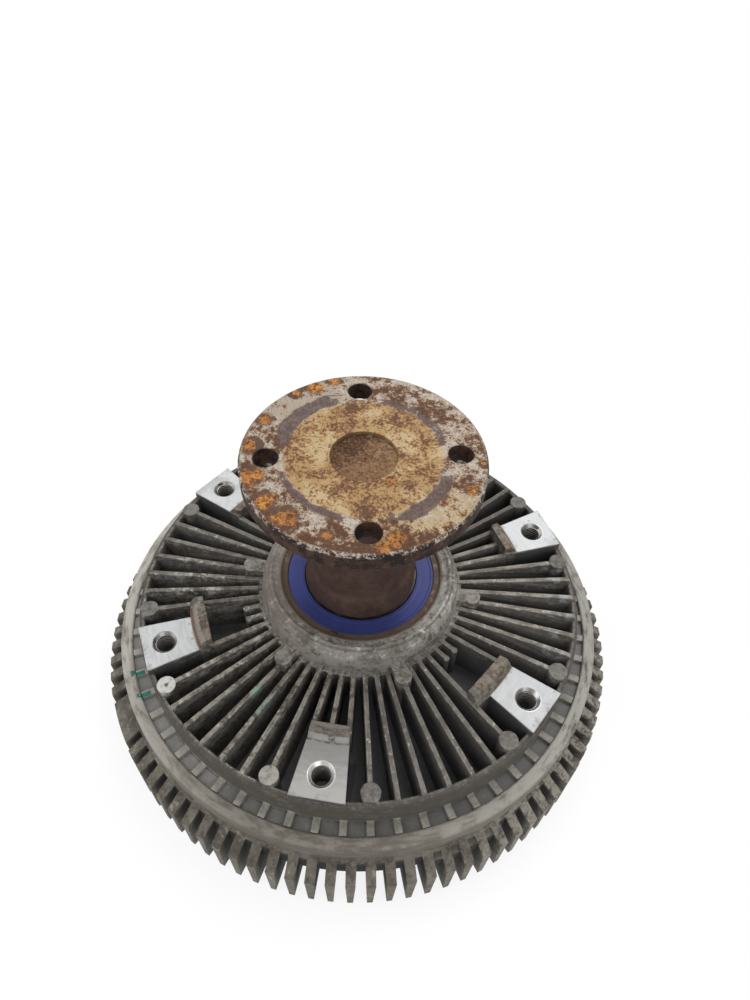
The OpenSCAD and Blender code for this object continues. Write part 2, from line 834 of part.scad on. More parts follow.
// Sealing ring in the groove of the rear housing's spigot
module cover_o_ring() {
  color("#1f2022")
    rotate_extrude()
      translate([spigot_r - groove_d / 2, groove_z + groove_h / 2])
        circle(groove_d / 2 - fit);
}

// Plate that closes the fluid store, with one port
module pump_plate() {
  color("#b3aa8c")
    difference() {
      translate([0, 0, plate_z])
        cylinder(r = plate_r, h = plate_t);
      rotate(valve_turn)
        translate([port_at, 0, plate_z - bite])
          cylinder(r = port_r, h = plate_t + 2 * bite);
      around(plate_screw_count, plate_turn)
        translate([plate_screw_at, 0, plate_z - bite])
          cylinder(r = plate_screw_r + 0.2, h = plate_t + 2 * bite);
    }
}

module plate_screws() {
  color("#8b8f92")
    around(plate_screw_count, plate_turn)
      translate([plate_screw_at, 0, plate_z]) {
        translate([0, 0, plate_t + fit])
          cylinder(r = plate_head_r, h = plate_head_h);
        translate([0, 0, -plate_screw_len])
          cylinder(r = plate_screw_r, h = plate_screw_len + plate_t + plate_head_h / 2);
      }
}

// Scraper beside the rotor rim that drives fluid into the return channel
module pump_wiper() {
  color("#d8d2c0")
    rotate(wide_tooth_at + 5.1)
      rotate_extrude(angle = 5)
        translate([rotor_r + 0.4, floor_z + 1.6])
          square([chamber_r + 2 - rotor_r - 0.4, spigot_z - floor_z - 3.2]);
}

// Screw plug that closes the drilled channel at the wide tooth
module channel_plug() {
  color("#55585a")
    rotate(wide_tooth_at)
      translate([cover_fin_r - 1.5 - plug_len, 0, channel_z])
        rotate([0, 90, 0])
          difference() {
            cylinder(r = channel_r - fit, h = plug_len);
            translate([0, 0, plug_len - 2.5])
              cylinder(r = channel_r * 0.6, h = 2.5 + bite, $fn = 6);
          }
}

// Pin that carries the valve arm behind and takes the bimetal strip in its front slot
module valve_shaft() {
  color("#9a9da0")
    difference() {
      rotate_extrude()
        polygon([
          [0, valve_z0], [valve_r - 0.4, valve_z0], [valve_r, valve_z0 + 0.4],
          [valve_r, clip_z], [clip_in, clip_z], [clip_in, clip_z + clip_t + 0.1],
          [valve_r, clip_z + clip_t + 0.1],
          [valve_r, ring_z], [ring_groove_r, ring_z], [ring_groove_r, ring_z + ring_groove_h],
          [valve_r, ring_z + ring_groove_h],
          [valve_r, boss_z1 + run], [valve_head_r, boss_z1 + run], [valve_head_r, arm_z - fit],
          [tip_r, arm_z - fit], [tip_r, arm_z + arm_t + fit], [tip_r + 1.4, arm_z + arm_t + fit],
          [tip_r + 0.8, arm_z + arm_t + 0.7], [0, arm_z + arm_t + 0.8]
        ]);
      rotate(valve_turn)
        translate([-2 * valve_r, -slot_w / 2, 0])
          cube([4 * valve_r, slot_w, coil_z + coil_w + 0.1]);
    }
}

// Flat arm whose round end covers the port at rest
module valve_arm() {
  color("#a5a08c")
    rotate(valve_turn)
      translate([0, 0, arm_z])
        difference() {
          linear_extrude(arm_t) {
            circle(arm_hub_r);
            translate([port_at, 0])
              circle(arm_pad_r);
            polygon([
              [0, -arm_hub_r * 0.85], [port_at, -arm_pad_r * 0.7],
              [port_at, arm_pad_r * 0.7], [0, arm_hub_r * 0.85]
            ]);
          }
          translate([0, 0, -bite])
            cylinder(r = tip_r + fit, h = arm_t + 2 * bite);
        }
}

module valve_o_ring() {
  color("#1f2022")
    rotate_extrude()
      translate([ring_groove_r + ring_r, ring_z + ring_groove_h / 2])
        circle(ring_r - fit / 2);
}

// Open clip that keeps the valve shaft in its bore
module valve_clip() {
  color("#6d7072")
    rotate(valve_turn)
      translate([0, 0, clip_z + 0.05])
        difference() {
          cylinder(r = clip_out, h = clip_t);
          translate([0, 0, -bite])
            cylinder(r = clip_in + fit, h = clip_t + 2 * bite);
          translate([0, -clip_in * 0.8, -bite])
            cube([clip_out + bite, clip_in * 1.6, clip_t + 2 * bite]);
        }
}

// Spiral strip: its inner end sits in the valve shaft's slot, its outer end in the cast post
module bimetal_coil() {
  n = coil_turns * coil_steps;
  color("#b58a4e")
    rotate(valve_turn)
      translate([0, 0, coil_z])
        linear_extrude(coil_w) {
          polygon(concat(
            [for (i = [0:n]) spiral(i, coil_t / 2)],
            [for (i = [0:n]) spiral(n - i, -coil_t / 2)]
          ));
          translate([-valve_r + 0.6, -coil_t / 2])
            square([coil_r0 + valve_r - 0.6 + coil_t / 2, coil_t]);
          translate([coil_r1 - coil_t / 2, -coil_t / 2])
            square([post_at + 2 - coil_r1, coil_t]);
        }
}

// Point i of the coil's spiral, off its middle line by d
function spiral(i, d) =
  let (a = i * 360 / coil_steps, r = coil_r0 + coil_pitch * i / coil_steps + d)
    [r * cos(a), r * sin(a)];

input_shaft();
rotor_disc();
rotor_washer();
rotor_bolt();
bearing_inner_ring();
bearing_outer_ring();
bearing_balls();
bearing_cage();
bearing_seal_rear();
bearing_seal_front();
rear_housing();
front_cover();
cover_o_ring();
pump_plate();
plate_screws();
pump_wiper();
channel_plug();
valve_shaft();
valve_arm();
valve_o_ring();
valve_clip();
bimetal_coil();
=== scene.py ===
import math

import bpy
import numpy as np
from mathutils import Matrix


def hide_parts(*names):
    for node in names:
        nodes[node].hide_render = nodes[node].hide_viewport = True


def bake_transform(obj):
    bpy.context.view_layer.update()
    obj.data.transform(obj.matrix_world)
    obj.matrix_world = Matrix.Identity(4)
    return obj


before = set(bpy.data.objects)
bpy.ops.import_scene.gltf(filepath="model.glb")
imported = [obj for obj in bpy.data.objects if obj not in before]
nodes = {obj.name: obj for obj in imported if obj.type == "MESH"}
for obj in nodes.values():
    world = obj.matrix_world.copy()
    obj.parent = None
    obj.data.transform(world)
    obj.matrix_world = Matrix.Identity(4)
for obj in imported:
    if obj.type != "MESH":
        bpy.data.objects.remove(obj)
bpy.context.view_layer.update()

# Heights above the tips of the front fins, in metres.
SKIRT_Z = 0.034
POCKET_Z = 0.0455
RIM_Z = 0.048
DRUM_Z = 0.0645
FIN_Z = 0.0668
PAD_Z = 0.068
FLANGE_BACK = 0.153
FLANGE_Z = 0.1625

# Radii round the shaft's axis, from the middle outwards.
PILOT_R = 0.0146
SEAL_IN, SEAL_OUT = 0.0283, 0.0368
BOLT_CIRCLE_R = 0.0415
HUB_LIP_R = 0.042
HUB_GROOVE = (0.0462, 0.0470)
HUB_RIDGE = (0.0425, 0.0490)
HUB_R = 0.0505
FLANGE_R = 0.053
HUB_BOSS_AT = 0.0575
LIP_R = 0.080
STEP_R = 0.087
FAN_R = 0.101
BOSS_AT = 0.107
DRUM_IN = 0.1097
DRUM_R = 0.1125
RIM_IN = 0.119
COVER_R = 0.126
COVER_FIN_R = 0.1345

# Sizes of small features: a mask that ends at an edge fades between its two radii.
BOSS_EDGE = (0.0047, 0.0042)
BOLT_HOLE_EDGE = (0.0062, 0.0056)
FAN_MOUTH_EDGE = (0.0064, 0.0060)
FAN_BORE_EDGE = (0.0046, 0.0044)
PAD_EDGE = (0.0137, 0.0128)
RIB_HALF = 0.0018
FAN_PITCH = 0.0015
COVER_FIN_SLOPE = 0.7059
LATHE_PITCH = 0.0006

# Steps and turns round the axis, in radians.
FIN_STEP = math.radians(6)
PAD_STEP, PAD_START = math.radians(60), math.radians(30)
BOSS_BESIDE_PAD = math.radians(12)
BOLT_STEP, FLANGE_TURN = math.radians(90), math.radians(12)
VALVE_TURN = math.radians(115)
GLINT_AT = math.radians(-35)

# Directions round the axis, in degrees; the camera stands at the front.
FRONT = -90
RIGHT_PAD, LEFT_PAD = -30, 210
PALE_BOSS, DUSTY_BOSS, DARK_HUB_BOSS = 222, 258, 300
RIB_DABS = (210.2, 216.2)
RIM_DABS = (209.8, 216.2)

# Places on the flange's face: x, y and size of thicker rust and of orange blooms.
RUST_CLUSTERS = (
    (-0.0105, 0.0280, 0.006), (0.0118, 0.0246, 0.006), (-0.0322, 0.0004, 0.005),
    (-0.0062, -0.0227, 0.005), (0.0060, -0.0298, 0.006), (0.0322, 0.0259, 0.006),
    (0.0446, 0.0184, 0.004), (0.0077, 0.0477, 0.006), (0.0252, 0.0349, 0.007),
    (0.0256, -0.0361, 0.006), (-0.0493, -0.0110, 0.006), (0.0235, -0.0020, 0.006),
)
BLOOMS = (
    (-0.0486, -0.0027, 0.0050), (-0.0435, -0.0200, 0.0058), (-0.0351, -0.0322, 0.0054),
    (-0.0260, -0.0391, 0.0062), (0.0201, -0.0424, 0.0050), (0.0156, -0.0474, 0.0038),
    (-0.0072, -0.0450, 0.0032), (-0.0471, 0.0140, 0.0042), (-0.0294, 0.0384, 0.0046),
    (-0.0218, 0.0455, 0.0040), (-0.0373, 0.0335, 0.0036), (0.0135, -0.0121, 0.0022),
    (0.0467, -0.0108, 0.0036), (0.0505, 0.0042, 0.0022),
)

# Light: the world's strength on the part, and how white the floor shows near it and farther out.
WORLD_LIGHT = 0.52
WHITE = 1.0
FLOOR_NEAR_WHITE = 0.86
FLOOR_FADE = (0.13, 0.26)
FLOOR_RADII = (0.05, 0.3, 1.0, 6.0)
FLOOR_SIDES = 64
FLOOR_Z = -0.0002
LAMP_AIM = (0.0, 0.0, 0.06)


class Finish:
    """One procedural material. Its methods give sockets: places, masks from 0 to 1, and colours."""

    def __init__(self, name):
        self.material = bpy.data.materials.new(name)
        self.material.use_nodes = True
        self.tree = self.material.node_tree
        self.shader = self.tree.nodes["Principled BSDF"]
        self.place = self.tree.nodes.new("ShaderNodeTexCoord").outputs["Object"]
        split = self.node("ShaderNodeSeparateXYZ", self.place)
        self.x, self.y, self.z = split.outputs
        self.radius = self.math("SQRT", self.sum((self.x, self.x), (self.y, self.y)))
        self.angle = self.math("ARCTAN2", self.y, self.x)

    def node(self, kind, *values, **settings):
        made = self.tree.nodes.new(kind)
        for key, value in settings.items():
            setattr(made, key, value)
        for socket, value in zip(made.inputs, values):
            self.put(value, socket)
        return made

    def put(self, value, socket):
        """Links a socket, or sets a number or colour on the input itself."""
        if value is None:
            return
        if isinstance(value, bpy.types.NodeSocket):
            self.tree.links.new(value, socket)
        elif isinstance(value, tuple) and socket.type == "RGBA":
            socket.default_value = (*value, 1.0)
        else:
            socket.default_value = value

    def math(self, kind, *values):
        return self.node("ShaderNodeMath", *values, operation=kind).outputs[0]

    def chain(self, kind, values):
        out = values[0]
        for value in values[1:]:
            out = self.math(kind, out, value)
        return out

    def add(self, a, b):
        return self.math("ADD", a, b)

    def sub(self, a, b):
        return self.math("SUBTRACT", a, b)

    def mul(self, *values):
        return self.chain("MULTIPLY", values)

    def most(self, *values):
        return self.chain("MAXIMUM", values)

    def sum(self, *terms):
        """All terms added up; a term in brackets is the product of what it holds."""
        return self.chain("ADD", [self.mul(*t) if isinstance(t, tuple) else t for t in terms])

    def flip(self, a):
        return self.sub(1.0, a)

    def sway(self, value, amount):
        """A noise about its middle value, times amount."""
        return self.mul(self.sub(value, 0.5), amount)

    def rise(self, value, low, high):
        """0 below low, 1 above high and a smooth step between; high may lie below low."""
        made = self.node("ShaderNodeMapRange", value, low, high, interpolation_type="SMOOTHSTEP")
        return made.outputs[0]

    def band(self, value, low, high, soft):
        """1 between low and high, with smooth edges that are 2 soft wide."""
        return self.mul(self.rise(value, low - soft, low + soft),
                        self.rise(value, high + soft, high - soft))

    def facing(self, degrees, half, soft):
        """1 within half degrees of a direction round the axis, smooth over soft degrees more."""
        off = self.math("COSINE", self.sub(self.angle, math.radians(degrees)))
        return self.rise(off, math.cos(math.radians(half + soft)), math.cos(math.radians(half)))

    def fold(self, step, start):
        """Angle from the nearest of the directions start + n step round the axis."""
        turned = self.math("FLOORED_MODULO", self.sub(self.angle, start - step / 2), step)
        return self.sub(turned, step / 2)

    def from_ring(self, at, fold):
        """Distance in plan from the nearest of a ring of points at a radius, folded onto one direction,
        and its two parts along and across that direction."""
        along = self.sub(self.mul(self.radius, self.math("COSINE", fold)), at)
        across = self.mul(self.radius, self.math("SINE", fold))
        return self.math("SQRT", self.sum((along, along), (across, across))), along, across

    def stretched(self, scale, seed=0):
        shift = (seed * 0.171, seed * 0.113, seed * 0.057)
        return self.node("ShaderNodeMapping", self.place, shift, None, scale).outputs[0]

    def ringwise(self, around, outward, upward, seed=0):
        """Place for streaks round the axis: the direction, around times as long, then metres outward and
        upward, each times its own number."""
        turn = self.math("DIVIDE", around, self.radius)
        third = self.sum((self.radius, outward), (self.z, upward), seed * 7.3)
        made = self.node("ShaderNodeCombineXYZ", self.mul(self.x, turn), self.mul(self.y, turn), third)
        return made.outputs[0]

    def noise(self, scale, detail=4.0, rough=0.55, seed=0, stretch=(1, 1, 1), place=None):
        made = self.tree.nodes.new("ShaderNodeTexNoise")
        for name, value in (("Scale", scale), ("Detail", detail), ("Roughness", rough)):
            made.inputs[name].default_value = value
        self.put(place or self.stretched(stretch, seed), made.inputs["Vector"])
        return made.outputs["Fac"]

    def spots(self, places, z, grow, wobble):
        """1 within about grow sizes of each (x, y, size) on the level z; wobble roughens the edge."""
        marks = []
        for x, y, size in places:
            gap = self.node("ShaderNodeVectorMath", self.place, (x, y, z), operation="DISTANCE")
            ragged = self.add(gap.outputs["Value"], self.sway(wobble, size * grow * 6))
            marks.append(self.rise(ragged, size * grow, size * grow * 0.88))
        return self.most(*marks)

    def mix(self, amount, a, b):
        """Colour a where amount is 0, b where it is 1."""
        made = self.tree.nodes.new("ShaderNodeMix")
        made.data_type = "RGBA"
        for value, socket in zip((amount, a, b), (made.inputs[0], made.inputs[6], made.inputs[7])):
            self.put(value, socket)
        return made.outputs[2]

    def blend(self, amount, a, b):
        """Number a where amount is 0, b where it is 1."""
        made = self.tree.nodes.new("ShaderNodeMix")
        for value, socket in zip((amount, a, b), (made.inputs[0], made.inputs[2], made.inputs[3])):
            self.put(value, socket)
        return made.outputs[0]

    def tones(self, value, low, high, under, over):
        """The colour under where value is below low, over where it is above high."""
        return self.mix(self.rise(value, low, high), under, over)

    def coat(self, base, colour, *amounts):
        """A colour laid over base, as thick as the product of the amounts."""
        return self.mix(self.mul(*amounts), base, colour)

    def layers(self, value, base, *steps):
        """Colours over each other: each (level, soft, colour) lies where value is above its level."""
        for level, soft, colour in steps:
            base = self.tones(value, level - soft, level + soft, base, colour)
        return base

    def edges(self, size, low=0.02, high=0.25):
        """Mask of edges, from how far a rounded normal leans from the flat one, and that normal."""
        rounded = self.tree.nodes.new("ShaderNodeBevel")
        rounded.samples = 6
        rounded.inputs["Radius"].default_value = size
        flat = self.tree.nodes.new("ShaderNodeNewGeometry").outputs["Normal"]
        lean = self.node("ShaderNodeVectorMath", rounded.outputs[0], flat, operation="DOT_PRODUCT")
        return self.rise(self.flip(lean.outputs["Value"]), low, high), rounded.outputs[0]

    def bump(self, height, distance, strength, under=None):
        made = self.tree.nodes.new("ShaderNodeBump")
        self.put(strength, made.inputs["Strength"])
        made.inputs["Distance"].default_value = distance
        self.put(height, made.inputs["Height"])
        self.put(under, made.inputs["Normal"])
        return made.outputs[0]

    def done(self, colour, roughness, metallic, normal=None, **constants):
        """Joins everything to the shader; constants are set on the sockets that they name."""
        self.put(colour, self.shader.inputs["Base Color"])
        self.put(roughness, self.shader.inputs["Roughness"])
        self.put(metallic, self.shader.inputs["Metallic"])
        self.put(normal, self.shader.inputs["Normal"])
        for name, value in constants.items():
            self.put(value, self.shader.inputs[name.replace("_", " ").title().replace("Ior", "IOR")])
        return self.material


class Casting(Finish):
    """Die-cast aluminium: a finish with patterns for blotches, patches, specks, grain and worn edges."""

    def __init__(self, name, patch_scale, speck_scale, seeds):
        super().__init__(name)
        self.blotch = self.noise(55, 5, 0.62, seed=seeds[0])
        self.patch = self.noise(patch_scale, 5, 0.68, seed=seeds[1])
        self.speck = self.noise(speck_scale, 4, 0.72, seed=seeds[2])
        grain = self.noise(1200, 3, 0.6, seed=seeds[3])
        self.mottle = self.sum((self.patch, 0.5), (self.speck, 0.5))
        self.height = self.sum((self.speck, 0.9), (grain, 0.5), (self.patch, 0.8))
        self.worn, self.rounded = self.edges(0.0008)

    def dabs(self, directions, half, soft):
        """1 near any of the directions round the axis."""
        return self.most(*[self.facing(degrees, half, soft) for degrees in directions])


def fin_skin(f):
    """Fins: streaked sides, pale tops with dark and white spots, painted shade by direction, soot and
    painted shade that thicken downwards.
    """
    r, blotch, mottle = f.radius, f.blotch, f.mottle
    streak = f.noise(1, 4, 0.6, place=f.ringwise(48, 90, 430, 1))
    in_fins = f.band(r, HUB_R + 0.0008, DRUM_IN + 0.0012, 0.0006)
    depth = f.sub(FIN_Z, f.z)
    skin = f.tones(streak, 0.34, 0.66, (0.103, 0.096, 0.086), (0.196, 0.186, 0.170))
    skin = f.coat(skin, (0.275, 0.258, 0.225), f.rise(mottle, 0.53, 0.60), 0.6)
    top = f.mul(in_fins, f.rise(depth, 0.0012, 0.0003))
    pale = f.sum((streak, 0.5), (mottle, 0.5))
    pale = f.tones(pale, 0.42, 0.60, (0.145, 0.128, 0.104), (0.300, 0.279, 0.240))
    skin = f.coat(skin, pale, top, 0.85)
    dirty_side = f.facing(228, 35, 45)
    brown = f.mul(f.rise(mottle, 0.485, 0.43), f.blend(dirty_side, 0.30, 0.85))
    skin = f.mix(brown, skin, (0.068, 0.055, 0.043))
    # Painted shade: fins darker at the front right, back right and back left, and on their tops at the
    # left.
    fin_painted_shade = f.most(f.mul(f.facing(-48, 22, 18), 0.5), f.mul(f.facing(170, 30, 20), top, 0.45),
                 f.mul(f.facing(56, 16, 12), 0.75), f.mul(f.facing(147, 15, 12), 0.45))
    skin = f.coat(skin, (0.070, 0.065, 0.058), in_fins, fin_painted_shade)

    # Soot and painted shade: darker deeper down between the fins, deeper still at the front right and
    # shallower at the front left.
    sink = f.sum(depth, f.sway(mottle, 0.026),
                 (f.facing(-50, 25, 20), 0.003), (f.facing(225, 35, 22), -0.007))
    soot_and_shade = f.mul(in_fins, f.rise(sink, 0.004, 0.017))
    black = f.tones(sink, 0.006, 0.017, (0.087, 0.081, 0.075), (0.113, 0.112, 0.118))
    skin = f.coat(skin, black, soot_and_shade, 0.92)
    oxide = f.mul(f.facing(0, 15, 10), f.band(r, 0.096, 0.108, 0.003), f.rise(f.patch, 0.50, 0.64))
    skin = f.coat(skin, (0.36, 0.375, 0.395), oxide, f.rise(depth, 0.009, 0.004), 0.75)
    scuff = f.rise(f.sum((blotch, 0.45), (mottle, 0.55)), 0.530, 0.575)
    scuff = f.mul(scuff, in_fins, f.facing(215, 28, 22), f.rise(depth, 0.0085, 0.003))
    skin = f.coat(skin, (0.42, 0.402, 0.362), scuff, 0.75)
    white = f.mul(in_fins, f.rise(f.speck, 0.615, 0.655), f.rise(blotch, 0.40, 0.56))
    skin = f.coat(skin, (0.52, 0.505, 0.465), white, f.rise(depth, 0.005, 0.001), 0.85)
    return skin, depth, soot_and_shade


def ring_skin(f, skin):
    """Ring wall, pockets and ribs outside the fins, with painted light on the left and painted shade on
    the right, and dirt and painted shade in the pockets' corners.
    """
    r, z, mottle = f.radius, f.z, f.mottle
    # Painted light: pockets and rib tops paler on the left.
    painted_light_side = f.facing(175, 45, 45)
    outside = f.rise(r, DRUM_IN + 0.0008, DRUM_IN + 0.0018)
    wall = f.tones(z, RIM_Z - 0.001, DRUM_Z - 0.003, (0.100, 0.090, 0.075), (0.054, 0.045, 0.036))
    wall = f.coat(wall, (0.165, 0.148, 0.120), f.rise(mottle, 0.53, 0.62), 0.5)
    skin = f.coat(skin, wall, outside, 0.88)

    low = f.mul(outside, f.rise(z, RIM_Z + 0.0012, RIM_Z))
    pocket = f.tones(mottle, 0.36, 0.64, (0.185, 0.182, 0.172), (0.265, 0.262, 0.25))
    pocket = f.coat(pocket, (0.38, 0.37, 0.345), painted_light_side, 0.50)
    # Painted shade: pockets darker on the right.
    pocket = f.coat(pocket, (0.095, 0.092, 0.087), f.facing(-20, 45, 40), 0.65)
    uneven = f.mul(f.facing(-95, 35, 30), f.rise(f.blotch, 0.62, 0.42))
    pocket = f.coat(pocket, (0.098, 0.093, 0.084), uneven, 0.55)
    skin = f.mix(low, skin, pocket)
    off_rib = f.mul(r, f.math("ABSOLUTE", f.fold(FIN_STEP, 0.0)))
    rib = f.mul(low, f.rise(off_rib, RIB_HALF + 0.0001, RIB_HALF - 0.0002))
    rib_top = f.tones(mottle, 0.40, 0.60, (0.185, 0.175, 0.152), (0.285, 0.274, 0.242))
    rib_top = f.coat(rib_top, (0.46, 0.445, 0.40), painted_light_side, 0.45)
    skin = f.mix(rib, skin, rib_top)
    # Dirt and painted shade in the pockets' corners, along the ribs and the ring wall.
    corner = f.most(f.band(off_rib, RIB_HALF, RIB_HALF + 0.0004, 0.0003),
                    f.band(r, DRUM_R, DRUM_R + 0.0005, 0.0003))
    corner = f.mul(corner, low, f.rise(z, POCKET_Z + 0.0012, POCKET_Z + 0.0004))
    return f.coat(skin, (0.045, 0.041, 0.036), corner, 0.65), rib


def hub_skin(f, skin):
    """Hub: turned beige face, brown towards the bearing, a dark groove, white specks along the ridge."""
    r, mottle = f.radius, f.mottle
    hub = f.mul(f.rise(r, HUB_R + 0.001, HUB_R), f.rise(f.z, FIN_Z - 0.001, FIN_Z + 0.001))
    turned = f.noise(1, 3, 0.6, place=f.ringwise(5, 800, 800, 2))
    face = f.sum((f.blotch, 0.3), (turned, 0.15), (mottle, 0.55))
    face = f.tones(face, 0.43, 0.57, (0.142, 0.127, 0.109), (0.360, 0.340, 0.312))
    face = f.coat(face, (0.085, 0.070, 0.054), f.rise(mottle, 0.46, 0.41), 0.6)
    # Painted shade: the hub's face darker at the front.
    face = f.coat(face, (0.085, 0.076, 0.062), f.facing(FRONT, 30, 25), 0.3)
    by_bearing = f.mul(f.rise(r, HUB_LIP_R, HUB_LIP_R - 0.0018), f.rise(mottle, 0.38, 0.52))
    face = f.mix(by_bearing, face, (0.125, 0.088, 0.058))
    groove = f.band(r, *HUB_GROOVE, 0.0005)
    face = f.coat(face, (0.075, 0.064, 0.051), groove, 0.65)
    brown_side = f.facing(175, 45, 40)
    face = f.coat(face, (0.235, 0.200, 0.170), brown_side, 0.42)
    fleck = f.mul(f.rise(mottle, 0.555, 0.60), f.band(r, *HUB_RIDGE, 0.001))
    face = f.coat(face, (0.52, 0.505, 0.47), fleck, f.blend(brown_side, 0.85, 0.30))
    return f.mix(hub, skin, face), f.mul(groove, hub)


def boss_skin(f, skin, fold):
    """Round bosses beside the pads and on the hub: their own tops, with the mark of an ejector pin."""
    z, mottle = f.z, f.mottle
    beside = f.sub(f.math("ABSOLUTE", fold), BOSS_BESIDE_PAD)
    from_boss = f.from_ring(BOSS_AT, beside)[0]
    from_hub_boss = f.from_ring(HUB_BOSS_AT, f.fold(PAD_STEP, 0.0))[0]
    boss = f.mul(f.rise(from_boss, *BOSS_EDGE), f.rise(z, FIN_Z + 0.0001, FIN_Z + 0.0004))
    pale = f.facing(PALE_BOSS, 3, 2)
    top = f.tones(mottle, 0.40, 0.60, (0.085, 0.079, 0.071), (0.175, 0.165, 0.150))
    dusty = f.mul(f.facing(DUSTY_BOSS, 3, 2), f.rise(f.patch, 0.30, 0.62))
    top = f.coat(top, (0.36, 0.345, 0.305), dusty, 0.9)
    top = f.coat(top, (0.51, 0.505, 0.48), pale, f.rise(mottle, 0.34, 0.54))
    skin = f.mix(boss, skin, top)

    hub_boss = f.mul(f.rise(from_hub_boss, *BOSS_EDGE), f.rise(z, FIN_Z + 0.003, FIN_Z + 0.0036))
    top = f.sum(mottle, (f.facing(DARK_HUB_BOSS, 6, 4), -0.06))
    skin = f.mix(hub_boss, skin, f.tones(top, 0.36, 0.62, (0.10, 0.090, 0.077), (0.30, 0.284, 0.25)))
    pin = f.most(f.mul(boss, f.rise(from_boss, 0.0012, 0.0008)),
                 f.mul(hub_boss, f.rise(from_hub_boss, 0.0029, 0.0024)))
    pit = f.mul(boss, f.rise(from_boss, 0.0011, 0.0007), f.blend(pale, 0.25, 0.85))
    return f.mix(pit, skin, (0.045, 0.04, 0.034)), pin


def lip_skin(f, dull, milled):
    """Lips inside the pads: rusty; the left one with a pale ridge and a rust line; the front one
    scraped, with a pale inner edge, a silver band and a dark line along the step."""
    r, mottle = f.radius, f.mottle
    rusty = f.tones(mottle, 0.42, 0.58, (0.075, 0.050, 0.034), (0.20, 0.168, 0.135))
    left = f.facing(LEFT_PAD, 10, 4)
    ragged_r = f.add(r, f.sway(mottle, 0.004))
    rusty = f.coat(rusty, (0.285, 0.258, 0.222), left, f.band(ragged_r, 0.0830, 0.0854, 0.0004), 0.75)
    rusty = f.coat(rusty, (0.150, 0.070, 0.028), left, f.rise(ragged_r, 0.0853, 0.0859), 0.8)
    waved_r = f.add(r, f.sway(f.blotch, 0.002))
    scraped = f.sum((milled, 0.6), (mottle, 0.4))
    scraped = f.tones(scraped, 0.40, 0.58, (0.060, 0.047, 0.036), (0.160, 0.142, 0.120))
    scraped = f.coat(scraped, (0.205, 0.190, 0.166), f.rise(waved_r, 0.0820, 0.0810), 0.7)
    silver = f.mul(f.band(waved_r, 0.0846, 0.0864, 0.0003), f.rise(mottle, 0.36, 0.52))
    scraped = f.coat(scraped, (0.35, 0.35, 0.345), silver, 0.85)
    scraped = f.coat(scraped, (0.055, 0.047, 0.040), f.rise(waved_r, 0.0865, 0.0868), 0.8)
    return f.mix(dull, rusty, scraped)


def pad_skin(f, skin, fold):
    """Fan pads, folded onto one place: milled face with a painted highlight on the far pads, side walls
    in painted shade, lip, threaded hole with painted shade and highlight in its bore, a painted
    highlight in its mouth.
    """
    r, z, mottle = f.radius, f.z, f.mottle
    from_hole, along, across = f.from_ring(FAN_R, fold)
    near = f.mul(f.rise(f.math("ABSOLUTE", across), *PAD_EDGE), f.rise(r, LIP_R - 0.001, LIP_R),
                 f.rise(r, DRUM_R, DRUM_R - 0.0006))
    pad = f.mul(near, f.band(z, PAD_Z - 0.0004, PAD_Z + 0.0004, 0.0002),
                f.rise(r, STEP_R - 0.0003, STEP_R + 0.0003))
    milled = f.noise(1, 4, 0.6, place=f.ringwise(14, 520, 0, 4))
    dull = f.facing(FRONT, 10, 4)
    bright = f.tones(milled, 0.32, 0.68, (0.420, 0.426, 0.430), (0.510, 0.517, 0.522))
    # Painted highlight: the pads at the back lighter.
    bright = f.coat(bright, (0.585, 0.602, 0.613), f.facing(90, 70, 8), 0.6)
    bright = f.coat(bright, (0.37, 0.377, 0.382), f.facing(RIGHT_PAD, 10, 4), 0.5)
    bright = f.coat(bright, (0.30, 0.300, 0.292), f.rise(f.blotch, 0.50, 0.64), 0.45)
    grey = f.add(r, f.sway(milled, 0.03))
    grey = f.tones(grey, 0.088, 0.110, (0.225, 0.222, 0.213), (0.335, 0.33, 0.312))
    face = f.mix(dull, bright, grey)
    ends = f.most(f.rise(r, 0.091, 0.086), f.rise(r, 0.107, 0.1125))
    stained = f.rise(f.sum(mottle, (ends, 0.11)), 0.575, 0.665)
    face = f.coat(face, (0.24, 0.225, 0.195), stained, 0.7)
    skin = f.mix(pad, skin, face)
    # Painted shade on the pads' side walls.
    pad_side_shade = f.mul(near, f.rise(r, STEP_R - 0.001, STEP_R), f.rise(z, PAD_Z - 0.0006, PAD_Z - 0.0020))
    skin = f.coat(skin, (0.050, 0.051, 0.055), pad_side_shade, 0.7)
    lip = f.mul(near, f.rise(z, PAD_Z + 0.0003, PAD_Z + 0.0008),
                f.rise(r, STEP_R + 0.0012, STEP_R + 0.0004))
    skin = f.coat(skin, lip_skin(f, dull, milled), lip, 0.9)

    # Painted highlight: the hole's cut mouth shines on one side; on the dull front pad it shines all
    # round.
    mouth = f.mul(near, f.rise(from_hole, *FAN_MOUTH_EDGE), f.rise(z, PAD_Z - 0.0025, PAD_Z - 0.0016))
    round_hole = f.math("ARCTAN2", across, along)
    lit_from = f.add(round_hole, f.sub(f.angle, fold))
    glint = f.rise(f.math("COSINE", f.sub(lit_from, GLINT_AT)), -0.5, 0.95)
    glint = f.most(glint, f.mul(dull, 0.8))
    shine = f.sum((glint, 0.8), f.sway(milled, 0.8))
    skin = f.coat(skin, f.mix(shine, (0.17, 0.165, 0.158), (0.66, 0.655, 0.64)), mouth, 0.9)
    # Painted shade and highlight in the bore: dark down the hole, lighter on the thread's crests.
    bore = f.mul(near, f.rise(from_hole, *FAN_BORE_EDGE), f.rise(z, PAD_Z - 0.0012, PAD_Z - 0.002))
    screw = f.sum((z, 2 * math.pi / FAN_PITCH), round_hole)
    thread = f.mul(f.math("SINE", screw), bore)
    skin = f.mix(bore, skin, f.tones(thread, -0.4, 0.7, (0.06, 0.056, 0.05), (0.36, 0.35, 0.33)))
    return skin, pad, mouth, thread


